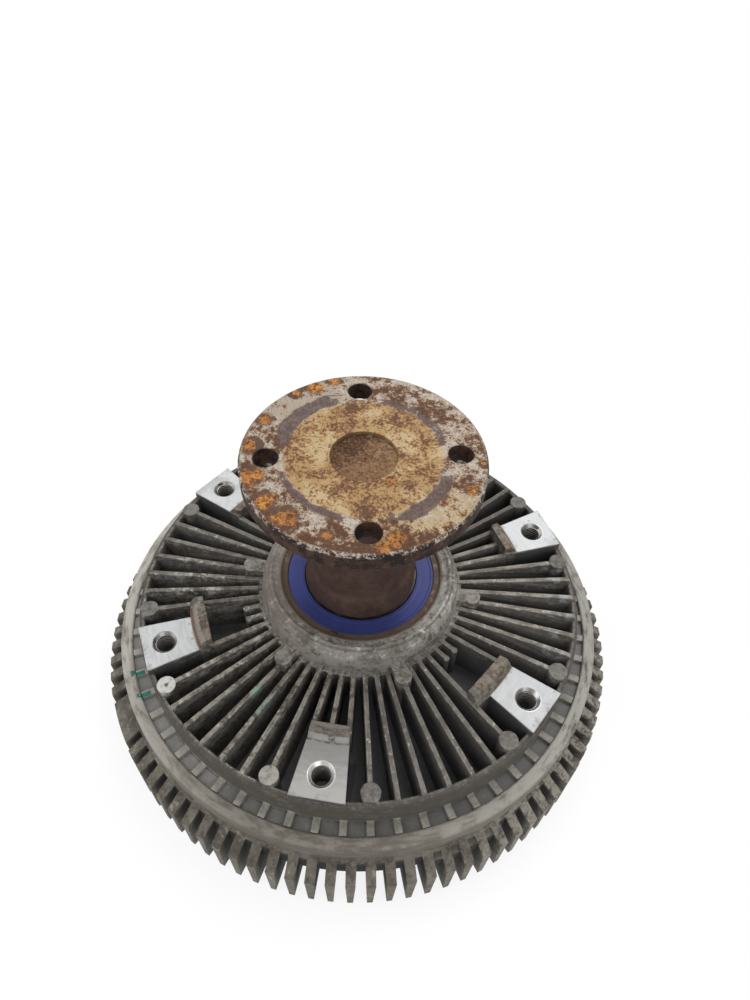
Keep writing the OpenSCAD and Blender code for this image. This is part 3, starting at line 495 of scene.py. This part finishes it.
def rear_casting():
    """Die-cast housing: fins, ring wall, hub, bosses, pads, then worn edges and dabs of green paint."""
    f = Casting("rear_casting", 170, 480, (0, 3, 4, 5))
    r, mottle = f.radius, f.mottle
    skin, depth, soot_and_shade = fin_skin(f)
    skin, rib = ring_skin(f, skin)
    skin, groove = hub_skin(f, skin)
    fold = f.fold(PAD_STEP, PAD_START)
    skin, pin = boss_skin(f, skin, fold)
    skin, pad, mouth, thread = pad_skin(f, skin, fold)

    wear = f.mul(f.worn, f.flip(f.mul(soot_and_shade, 0.9)), f.rise(mottle, 0.44, 0.56), f.flip(pad))
    skin = f.coat(skin, (0.43, 0.415, 0.375), wear, 0.5)
    dab = f.mul(f.dabs(RIB_DABS, 0.45, 0.25), f.rise(r, 0.1140, 0.1150), rib)
    skin = f.coat(skin, (0.022, 0.15, 0.115), dab, f.rise(mottle, 0.40, 0.46))
    smear = f.most(f.mul(f.facing(240.5, 0.6, 0.4), f.band(r, 0.0735, 0.0805, 0.002)),
                   f.mul(f.facing(246.2, 0.6, 0.4), f.band(r, 0.0775, 0.0850, 0.002)))
    smear = f.mul(smear, f.rise(depth, 0.006, 0.001), f.rise(f.patch, 0.34, 0.46))
    skin = f.coat(skin, (0.235, 0.385, 0.30), smear, 0.7)

    rough = f.blend(mouth, f.blend(pad, f.blend(mottle, 0.50, 0.80), 0.48), 0.28)
    metal = f.blend(mouth, f.blend(pad, f.mul(f.flip(soot_and_shade), 0.2), 0.15), 0.9)
    as_cast = f.flip(f.mul(f.most(pad, mouth), 0.92))
    height = f.sum((f.height, as_cast), (thread, 3.0), (pin, -1.2), (groove, -2.0))
    normal = f.bump(height, 0.00032, 0.55, f.rounded)
    return f.done(skin, rough, metal, normal, specular_ior_level=0.35)


def cover_casting():
    """Die-cast cover: streaked rolled rim with painted light on its sides, dirty wall, mottled fins with
    painted shade between them.
    """
    f = Casting("cover_casting", 190, 500, (11, 12, 14, 13))
    r, z, mottle = f.radius, f.z, f.mottle
    skin = f.sum((f.blotch, 0.4), (mottle, 0.6))
    skin = f.tones(skin, 0.40, 0.60, (0.066, 0.057, 0.044), (0.160, 0.146, 0.119))
    pale = f.mul(f.facing(-22, 18, 22), f.rise(mottle, 0.42, 0.56))
    skin = f.coat(skin, (0.275, 0.262, 0.222), pale, 0.7)
    skin = f.coat(skin, (0.29, 0.27, 0.228), f.rise(mottle, 0.555, 0.63), 0.65)
    skin = f.coat(skin, (0.050, 0.042, 0.033), f.rise(mottle, 0.460, 0.40), 0.7)

    # Rolled rim: marks that run round it, painted light making it pale on the right and left, browner at
    # the front, brown nicks.
    run = f.noise(1, 5, 0.62, place=f.ringwise(11, 380, 380, 3))
    rim = f.mul(f.rise(z, SKIRT_Z + 0.0030, SKIRT_Z + 0.0060), f.rise(r, RIM_IN - 0.0006, RIM_IN))
    on_top = f.rise(z, RIM_Z - 0.0022, RIM_Z - 0.0008)
    roll = f.sum((run, 0.65), (mottle, 0.35))
    roll = f.tones(roll, 0.43, 0.57, (0.070, 0.062, 0.050), (0.205, 0.190, 0.162))
    roll = f.coat(roll, (0.35, 0.340, 0.306), f.facing(-15, 35, 30), f.rise(run, 0.25, 0.55), 0.8)
    roll = f.coat(roll, (0.45, 0.432, 0.388), f.facing(185, 35, 40), f.rise(run, 0.22, 0.58), 0.85)
    nicks = f.rise(f.sum((run, 0.4), (mottle, 0.6)), 0.425, 0.36)
    roll = f.coat(roll, (0.085, 0.067, 0.050), nicks, 0.75)
    roll = f.coat(roll, (0.178, 0.158, 0.128), f.facing(-95, 35, 30), 0.40)
    roll = f.coat(roll, (0.105, 0.094, 0.075), f.flip(on_top), 0.55)
    skin = f.mix(rim, skin, roll)

    # Painted shade: near black between the outer fins, and between the fins on the front face.
    fin_top = f.sub(SKIRT_Z, f.mul(f.sub(r, COVER_R), COVER_FIN_SLOPE))
    under = f.rise(z, fin_top, f.sub(fin_top, 0.004))
    deep = f.mul(under, f.rise(r, COVER_FIN_R - 0.0005, COVER_FIN_R - 0.0050))
    front = f.mul(f.rise(r, COVER_R + 0.001, COVER_R - 0.004),
                  f.rise(z, 0.002, 0.0115), f.rise(z, 0.03, 0.02))
    gap_shade = f.most(f.mul(deep, 0.92), f.mul(front, 0.6))
    skin = f.mix(gap_shade, skin, (0.017, 0.015, 0.013))
    wear = f.mul(f.worn, f.rise(mottle, 0.44, 0.58), f.flip(f.mul(deep, 0.8)))
    skin = f.coat(skin, (0.39, 0.372, 0.325), wear, 0.45)

    # Outer ends of two dabs of green paint.
    dab = f.mul(f.dabs(RIM_DABS, 0.6, 0.4), f.rise(r, 0.1222, 0.1204), rim)
    skin = f.coat(skin, (0.016, 0.115, 0.088), dab, f.rise(mottle, 0.42, 0.48))
    normal = f.bump(f.height, 0.00035, 0.6, f.rounded)
    metal = f.mul(f.flip(deep), 0.2)
    return f.done(skin, f.blend(mottle, 0.5, 0.82), metal, normal, specular_ior_level=0.35)


def flange_face(f, blotch, rust, pepper, salt, holes):
    """The flange's face: pale grey outer part and cream middle under layers of tan, brown and dark rust
    with ragged edges; slate stain, orange blooms and the dark recess over them."""
    r = f.radius
    wander = f.add(r, f.sway(rust, 0.008))
    outer = f.rise(wander, 0.0324, 0.0346)
    calm = f.facing(138, 17, 10)
    ochre = f.facing(-48, 22, 18)
    known = f.spots(RUST_CLUSTERS, FLANGE_Z, 1.0, rust)
    share = f.sum((known, 0.034), f.sway(blotch, 0.18),
                  (outer, f.facing(50, 30, 25), 0.012), (outer, calm, -0.040),
                  (f.facing(-100, 45, 25), f.rise(r, 0.0455, 0.0510), 0.060))

    grey = f.tones(salt, 0.42, 0.58, (0.34, 0.285, 0.225), (0.49, 0.445, 0.38))
    grey = f.coat(grey, f.mix(salt, (0.29, 0.228, 0.172), (0.39, 0.325, 0.25)), calm, 0.75)
    grey = f.coat(grey, (0.40, 0.295, 0.150), ochre, f.rise(pepper, 0.40, 0.54), 0.8)
    warm = f.mix(ochre, (0.30, 0.225, 0.165), (0.38, 0.240, 0.100))
    brown = f.tones(salt, 0.40, 0.60, (0.275, 0.155, 0.082), (0.138, 0.077, 0.050))
    spread = f.sum((rust, 0.66), (pepper, 0.34), share)
    grey = f.layers(spread, grey, (0.497, 0.005, warm), (0.518, 0.004, brown),
                    (0.536, 0.005, (0.088, 0.043, 0.025)))
    tan = f.tones(salt, 0.42, 0.58, (0.345, 0.228, 0.102), (0.455, 0.330, 0.172))
    tan = f.coat(tan, (0.50, 0.405, 0.250), f.rise(blotch, 0.50, 0.40), 0.6)
    fine = f.sum((rust, 0.45), (pepper, 0.25), (salt, 0.30), share)
    tan = f.layers(fine, tan, (0.480, 0.016, (0.360, 0.218, 0.092)),
                   (0.508, 0.012, (0.230, 0.122, 0.058)), (0.538, 0.010, (0.110, 0.054, 0.030)))
    face = f.mix(outer, tan, grey)
    face = f.coat(face, (0.120, 0.072, 0.046), f.rise(salt, 0.585, 0.625), 0.75)

    # Slate stain between the bolt holes, outside the tan middle; widest at the back left.
    far = f.sum((f.facing(143, 18, 20), 0.0042), (f.facing(-33, 12, 20), 0.0030), 0.0370)
    stain = f.mul(f.rise(wander, 0.0334, 0.0342), f.rise(f.sub(far, wander), -0.0006, 0.0004),
                  f.rise(f.add(holes, f.sway(rust, 1.2)), 0.25, 0.30),
                  f.rise(f.sum(pepper, (f.facing(50, 35, 15), -0.08)), 0.33, 0.38))
    slate = f.tones(pepper, 0.42, 0.60, (0.066, 0.043, 0.040), (0.145, 0.104, 0.095))
    face = f.coat(face, slate, stain, 0.92)

    # Orange blooms, each in a dark brown surround and broken up by specks.
    ragged = f.sum((rust, 0.7), (pepper, 0.3))
    surround = f.tones(ragged, 0.46, 0.54, (0.068, 0.030, 0.017), (0.185, 0.090, 0.042))
    face = f.coat(face, surround, f.spots(BLOOMS, FLANGE_Z, 1.0, ragged), 0.92)
    crumbs = f.sum((pepper, 0.6), (salt, 0.4))
    orange = f.tones(blotch, 0.44, 0.58, (0.53, 0.240, 0.056), (0.37, 0.160, 0.050))
    orange = f.layers(crumbs, orange, (0.470, 0.014, (0.36, 0.150, 0.038)),
                      (0.512, 0.012, (0.20, 0.080, 0.028)), (0.555, 0.010, (0.075, 0.032, 0.018)))
    face = f.coat(face, orange, f.spots(BLOOMS, FLANGE_Z, 0.72, f.flip(rust)), 0.95)

    # Centring recess: dark towards the back left, with tan specks on the right.
    recess = f.sum((rust, 0.4), (salt, 0.6), (f.sub(f.x, f.y), 4.0))
    recess = f.tones(recess, 0.40, 0.60, (0.052, 0.021, 0.009), (0.268, 0.146, 0.076))
    specks = f.rise(f.sum(pepper, (f.x, 4.0)), 0.535, 0.60)
    recess = f.coat(recess, (0.36, 0.24, 0.11), specks, 0.7)
    return f.mix(f.rise(r, PILOT_R + 0.0003, PILOT_R - 0.0003), face, recess)


def forged_steel():
    """Drive flange and shaft: rusty face, scaled edge, chips along the rim, brown underside and neck."""
    f = Finish("forged_steel")
    r, z = f.radius, f.z
    blotch = f.noise(48, 5, 0.62, seed=21)
    rust = f.noise(115, 8, 0.80, seed=22)
    pepper = f.noise(430, 6, 0.82, seed=23)
    salt = f.noise(760, 3, 0.70, seed=24)
    worn, rounded = f.edges(0.0006)
    holes = f.math("ABSOLUTE", f.fold(BOLT_STEP, FLANGE_TURN))
    face = flange_face(f, blotch, rust, pepper, salt, holes)

    bare = f.tones(rust, 0.40, 0.60, (0.050, 0.030, 0.024), (0.078, 0.047, 0.038))
    on_edge = f.rise(z, FLANGE_BACK - 0.004, FLANGE_BACK)
    edge = f.tones(rust, 0.43, 0.58, (0.014, 0.010, 0.009), (0.066, 0.034, 0.023))
    edge = f.coat(edge, (0.17, 0.14, 0.115), f.rise(pepper, 0.59, 0.62), 0.5)
    bare = f.mix(on_edge, bare, edge)
    from_bolt = f.from_ring(BOLT_CIRCLE_R, holes)[0]
    in_hole = f.mul(f.rise(from_bolt, *BOLT_HOLE_EDGE), f.rise(z, FLANGE_Z, FLANGE_Z - 0.0008))
    on_face = f.mul(f.rise(z, FLANGE_Z - 0.0036, FLANGE_Z - 0.0005),
                    f.rise(r, FLANGE_R - 0.0002, FLANGE_R - 0.0011), f.flip(in_hole))
    skin = f.mix(on_face, bare, face)
    rim_edge = f.mul(f.rise(z, FLANGE_Z - 0.0026, FLANGE_Z - 0.0014),
                     f.rise(r, FLANGE_R - 0.0017, FLANGE_R - 0.0008))
    chipped = f.rise(f.sum(pepper, (f.facing(-110, 45, 30), 0.03)), 0.535, 0.550)
    chips = f.mul(f.most(worn, rim_edge), f.rise(z, FLANGE_BACK, FLANGE_Z), f.rise(r, 0.045, 0.051),
                  chipped, f.rise(rust, 0.44, 0.50))
    skin = f.coat(skin, (0.50, 0.455, 0.39), chips, 0.85)
    rough = f.blend(on_face, f.blend(rust, 0.6, 0.85), f.blend(pepper, 0.5, 0.85))
    scale = f.sum((rust, f.blend(on_edge, 0.8, 3.0)), pepper)
    normal = f.bump(scale, 0.0004, f.blend(on_face, 0.7, 0.5), rounded)
    return f.done(skin, rough, f.mul(on_face, 0.1), normal, specular_ior_level=0.18)


def seal_rubber():
    """Blue bearing seal: even blue rubber with a soft sheen, a little dust, painted shade along both
    edges and at the front.
    """
    f = Finish("blue_seal_rubber")
    dust = f.noise(420, 4, 0.6, seed=31)
    blotch = f.noise(60, 4, 0.6, seed=32)
    blue = f.tones(blotch, 0.3, 0.7, (0.031, 0.041, 0.170), (0.041, 0.053, 0.215))
    blue = f.coat(blue, (0.12, 0.115, 0.15), f.rise(dust, 0.56, 0.74), 0.25)
    # Painted shade in the gaps along both edges.
    edge = f.most(f.rise(f.radius, SEAL_IN + 0.0005, SEAL_IN),
                  f.rise(f.radius, SEAL_OUT - 0.0004, SEAL_OUT))
    blue = f.coat(blue, (0.012, 0.012, 0.02), edge, 0.85)
    # Painted shade at the front.
    blue = f.coat(blue, (0.012, 0.015, 0.055), f.facing(FRONT, 25, 35), 0.4)
    normal = f.bump(dust, 0.00008, 0.3)
    return f.done(blue, f.blend(dust, 0.36, 0.55), 0.0, normal, specular_ior_level=0.3)


def ground_steel(name, low, high, rust, amount, seed):
    """Ground or rolled steel: turned streaks, pits, and rust stains that spread with amount."""
    f = Finish(name)
    streak = f.noise(1800, 3, 0.6, seed=seed, stretch=(0.05, 0.05, 1))
    patch = f.noise(180, 5, 0.65, seed=seed + 1)
    fine = f.noise(900, 3, 0.6, seed=seed + 2)
    skin = f.tones(streak, 0.3, 0.7, low, high)
    spread = 0.3 * amount
    stain = f.rise(f.sum((patch, 0.7), (fine, 0.3)), 0.62 - spread, 0.74 - spread)
    stain = f.mul(stain, 0.9)
    skin = f.mix(stain, skin, rust)
    normal = f.bump(f.sum(streak, (patch, 0.5)), 0.0001, 0.35)
    rough = f.blend(stain, f.blend(fine, 0.26, 0.42), 0.7)
    return f.done(skin, rough, f.blend(stain, 0.9, 0.1), normal)


def turned_aluminium(name, low, high, seed):
    """Machined aluminium inside the clutch: fine lathe rings under a film of fluid."""
    f = Finish(name)
    rings = f.math("SINE", f.mul(f.radius, 2 * math.pi / LATHE_PITCH))
    patch = f.noise(120, 4, 0.6, seed=seed)
    skin = f.tones(f.sum((rings, 0.12), patch), 0.3, 0.7, low, high)
    normal = f.bump(f.sum((rings, 0.3), patch), 0.00008, 0.4)
    return f.done(skin, f.blend(patch, 0.22, 0.4), 0.9, normal, coat_weight=0.3, coat_roughness=0.1)


def moulded(name, low, high, seed, gloss=0.45):
    """Moulded plastic or rubber: slight mottling and a fine matt grain."""
    f = Finish(name)
    mottle = f.noise(140, 4, 0.6, seed=seed)
    grain = f.noise(2200, 2, 0.5, seed=seed + 1)
    skin = f.tones(mottle, 0.3, 0.7, low, high)
    return f.done(skin, f.blend(grain, gloss, gloss + 0.2), 0.0, f.bump(grain, 0.00006, 0.4))


def bimetal_metal():
    """Two rolled layers: brassy on the strip's outer side, grey steel on the inner, heat-stained."""
    f = Finish("bimetal_strip_metal")
    layer = f.tree.nodes.new("ShaderNodeAttribute")
    layer.attribute_name = "layer"
    side = f.rise(layer.outputs["Fac"], 0.42, 0.58)
    streak = f.noise(1500, 3, 0.6, seed=61, stretch=(0.3, 0.3, 2.0))
    stain = f.noise(130, 5, 0.65, seed=62)
    brass = f.tones(streak, 0.3, 0.7, (0.33, 0.23, 0.105), (0.50, 0.36, 0.17))
    steel = f.tones(streak, 0.3, 0.7, (0.24, 0.235, 0.225), (0.40, 0.39, 0.375))
    skin = f.mix(side, steel, brass)
    skin = f.coat(skin, (0.12, 0.085, 0.055), f.rise(stain, 0.5, 0.7), 0.7)
    return f.done(skin, f.blend(stain, 0.3, 0.6), 0.85, f.bump(streak, 0.00006, 0.4))


def ring_quads(rows, columns):
    """Quads between neighbouring rows of points, closed round each row."""
    i, j = np.meshgrid(np.arange(rows - 1), np.arange(columns), indexing="ij")
    k = (j + 1) % columns
    here, there = i * columns, (i + 1) * columns
    quads = np.stack([here + j, here + k, there + k, there + j], -1)
    return [tuple(quad) for quad in quads.reshape(-1, 4).tolist()]


def make(name, points, faces, material):
    """New object at the origin from points, faces and one material."""
    mesh = bpy.data.meshes.new(name)
    mesh.from_pydata(points.reshape(-1, 3).tolist(), [], faces)
    mesh.update()
    mesh.materials.append(material)
    made = bpy.data.objects.new(name, mesh)
    bpy.context.scene.collection.objects.link(made)
    return made


def bimetal_strip():
    """Strip carried along a flat spiral. The path is a straight tongue in the valve's slot, a bend, a
    spiral whose radius grows by one pitch a turn, a bend and a straight tongue into the cast post; the
    section is a rectangle with rounded corners."""
    r0, pitch, turns, bend = 0.008, 0.003, 5, 0.0016
    low, high, thick, corner_r = 0.0012, 0.0080, 0.0010, 0.0002
    slot_end, post_reach = -0.0034, 0.011
    steps, bend_steps, sides = 360, 9, 16
    r1 = r0 + pitch * turns

    def spiral(a):
        r = r0 + pitch * a / (2 * np.pi)
        return np.stack([r * np.cos(a), r * np.sin(a)], -1)

    def corner(p0, p1, p2):
        t = np.linspace(0, 1, bend_steps)[1:-1, None]
        return (1 - t) ** 2 * p0 + 2 * t * (1 - t) * p1 + t ** 2 * p2

    start, end = np.array([[slot_end, 0.0]]), np.array([[r1 + post_reach, 0.0]])
    into, out = np.array([r0 - bend, 0.0]), np.array([r1 + bend, 0.0])
    wound = spiral(np.linspace(bend / r0, 2 * np.pi * turns - bend / r1, steps))
    inner = corner(into, np.array([r0, 0.0]), wound[0])
    outer = corner(wound[-1], np.array([r1, 0.0]), out)
    path = np.concatenate([start, into[None], inner, wound, outer, out[None], end])

    way = np.gradient(path, axis=0)
    way /= np.linalg.norm(way, axis=1, keepdims=True)
    side = np.stack([way[:, 1], -way[:, 0]], -1)
    turn = np.linspace(0, 2 * np.pi, sides + 1)[:-1] + np.pi / sides
    off = (thick / 2 - corner_r) * np.sign(np.cos(turn)) + corner_r * np.cos(turn)
    rise = ((high - low) / 2 - corner_r) * np.sign(np.sin(turn)) + corner_r * np.sin(turn)
    ring = path[:, None, :] + side[:, None, :] * off[None, :, None]
    c, s = math.cos(VALVE_TURN), math.sin(VALVE_TURN)
    count = len(path)
    points = np.empty((count, sides, 3))
    points[..., 0] = ring[..., 0] * c - ring[..., 1] * s
    points[..., 1] = ring[..., 0] * s + ring[..., 1] * c
    points[..., 2] = (high + low) / 2 + rise[None, :]
    ends = [tuple(range(sides))[::-1], tuple(range((count - 1) * sides, count * sides))]
    strip = make("bimetal_strip", points, ring_quads(count, sides) + ends, bimetal_metal())
    layer = strip.data.attributes.new("layer", "FLOAT", "POINT")
    layer.data.foreach_set("value", np.tile(off / thick + 0.5, count).astype(np.float32))
    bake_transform(strip)
    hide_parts("bimetal_coil")


def floor_paper():
    """Pale paper: matt near the part so that it takes the shadow, plain white farther out."""
    f = Finish("floor_paper")
    f.tree.nodes.remove(f.shader)
    matt = f.tree.nodes.new("ShaderNodeBsdfDiffuse")
    fibre = f.noise(30, 3, 0.5)
    f.put(f.tones(fibre, 0.3, 0.7, (0.90, 0.90, 0.90), (0.94, 0.94, 0.94)), matt.inputs["Color"])
    white = f.tree.nodes.new("ShaderNodeEmission")
    light = f.tree.nodes.new("ShaderNodeLightPath")
    seen = f.most(light.outputs["Is Camera Ray"], light.outputs["Is Glossy Ray"],
                  light.outputs["Is Transmission Ray"])
    amount = f.mul(seen, f.blend(f.rise(f.radius, *FLOOR_FADE), FLOOR_NEAR_WHITE, WHITE))
    joined = f.node("ShaderNodeMixShader", amount, matt.outputs[0], white.outputs[0])
    f.put(joined.outputs[0], f.tree.nodes["Material Output"].inputs["Surface"])
    return f.material


def floor():
    """Flat disc under the part: rings of points, each a radius times the cosine and sine of the turn."""
    turn = np.linspace(0, 2 * np.pi, FLOOR_SIDES + 1)[:-1]
    flat = np.stack([np.cos(turn), np.sin(turn)], -1)
    points = np.full((len(FLOOR_RADII), FLOOR_SIDES, 3), FLOOR_Z)
    points[..., :2] = np.array(FLOOR_RADII)[:, None, None] * flat
    faces = [quad[::-1] for quad in ring_quads(len(FLOOR_RADII), FLOOR_SIDES)]
    ground = make("floor", points, faces + [tuple(range(FLOOR_SIDES))], floor_paper())


def lamp(name, place, size, power):
    """Square lamp that looks at the middle of the part."""
    light = bpy.data.lights.new(name, "AREA")
    light.size = size
    light.energy = power
    made = bpy.data.objects.new(name, light)
    bpy.context.scene.collection.objects.link(made)
    back = np.array(place) - np.array(LAMP_AIM)
    z = back / np.linalg.norm(back)
    x = np.cross([0, 0, 1], z)
    x /= np.linalg.norm(x)
    top = np.column_stack([x, np.cross(z, x), z, place])
    made.matrix_world = Matrix(np.vstack([top, [0, 0, 0, 1]]).tolist())


def studio_light():
    """White world: a plain level of light on the part, white to the camera and in reflections; lamps."""
    scene = bpy.context.scene
    scene.view_settings.view_transform = "Standard"
    world = bpy.data.worlds.new("studio")
    world.use_nodes = True
    tree = world.node_tree
    tree.nodes["Background"].inputs["Color"].default_value = (1, 1, 1, 1)
    light = tree.nodes.new("ShaderNodeLightPath")
    seen = light.outputs["Is Camera Ray"]
    for name in ("Is Glossy Ray", "Is Transmission Ray"):
        most = tree.nodes.new("ShaderNodeMath")
        most.operation = "MAXIMUM"
        tree.links.new(seen, most.inputs[0])
        tree.links.new(light.outputs[name], most.inputs[1])
        seen = most.outputs[0]
    level = tree.nodes.new("ShaderNodeMapRange")
    tree.links.new(seen, level.inputs["Value"])
    level.inputs["To Min"].default_value = WORLD_LIGHT
    level.inputs["To Max"].default_value = WHITE
    tree.links.new(level.outputs[0], tree.nodes["Background"].inputs["Strength"])
    scene.world = world
    lamp("key", (0.35, 0.75, 1.7), 1.3, 20)
    lamp("left", (-1.2, -0.5, 1.1), 1.2, 8)
    lamp("front", (0.9, -1.4, 1.2), 1.2, 12)


def photo_camera():
    """Camera at the photo's place: its right, up and back directions and its position, as solved."""
    scene = bpy.context.scene
    right, up = (0.98744, 0.15517, 0.02990), (-0.13653, 0.74246, 0.65584)
    back, place = (0.07957, -0.65168, 0.75431), (0.032186, -0.218227, 0.387529)
    lens = bpy.data.cameras.new("photo_camera")
    lens.sensor_fit = "VERTICAL"
    lens.sensor_width = lens.sensor_height = 36
    lens.lens = 26.78
    lens.clip_start, lens.clip_end = 0.01, 50
    camera = bpy.data.objects.new("photo_camera", lens)
    scene.collection.objects.link(camera)
    camera.matrix_world = Matrix([*zip(right, up, back, place), (0, 0, 0, 1)])
    scene.camera = camera


def dress(material, *names):
    """Puts one material on every slot of the named nodes."""
    for name in names:
        for slot in nodes[name].material_slots:
            slot.material = material


# Ground and rolled steels: name, dark and light tone, rust, how far it spreads, seed, nodes.
STEELS = (
    ("outer_ring_steel", (0.085, 0.056, 0.038), (0.125, 0.088, 0.062), (0.075, 0.043, 0.027), 0.8, 41,
     ("bearing_outer_ring",)),
    # The inner ring's dark tones are painted shade in the gap beside the shaft.
    ("shaded_inner_ring_steel", (0.055, 0.042, 0.036), (0.11, 0.088, 0.075), (0.05, 0.03, 0.022), 0.4, 42,
     ("bearing_inner_ring",)),
    ("ball_steel", (0.58, 0.58, 0.59), (0.72, 0.72, 0.73), (0.35, 0.27, 0.2), -0.3, 43,
     ("bearing_balls",)),
    ("fastener_steel", (0.27, 0.275, 0.28), (0.44, 0.445, 0.45), (0.14, 0.08, 0.05), 0.1, 49,
     ("rotor_washer", "rotor_bolt", "plate_screws", "channel_plug", "valve_shaft")),
    ("pressed_plate_steel", (0.38, 0.36, 0.30), (0.54, 0.51, 0.43), (0.20, 0.14, 0.08), 0.1, 51,
     ("pump_plate",)),
    ("spring_steel", (0.22, 0.21, 0.19), (0.38, 0.36, 0.33), (0.12, 0.08, 0.05), 0.1, 53,
     ("valve_arm", "valve_clip")),
)

dress(rear_casting(), "rear_housing")
dress(cover_casting(), "front_cover")
dress(forged_steel(), "input_shaft")
dress(seal_rubber(), "bearing_seal_rear", "bearing_seal_front")
for *values, names in STEELS:
    dress(ground_steel(*values), *names)
dress(moulded("cage_plastic", (0.50, 0.42, 0.22), (0.60, 0.52, 0.30), 45), "bearing_cage")
dress(turned_aluminium("rotor_aluminium", (0.48, 0.49, 0.50), (0.66, 0.67, 0.68), 47), "rotor_disc")
dress(moulded("black_ring_rubber", (0.012, 0.012, 0.013), (0.028, 0.027, 0.027), 55, 0.5),
      "cover_o_ring", "valve_o_ring")
dress(moulded("wiper_plastic", (0.60, 0.57, 0.47), (0.72, 0.69, 0.58), 57), "pump_wiper")
bimetal_strip()
floor()
studio_light()
photo_camera()
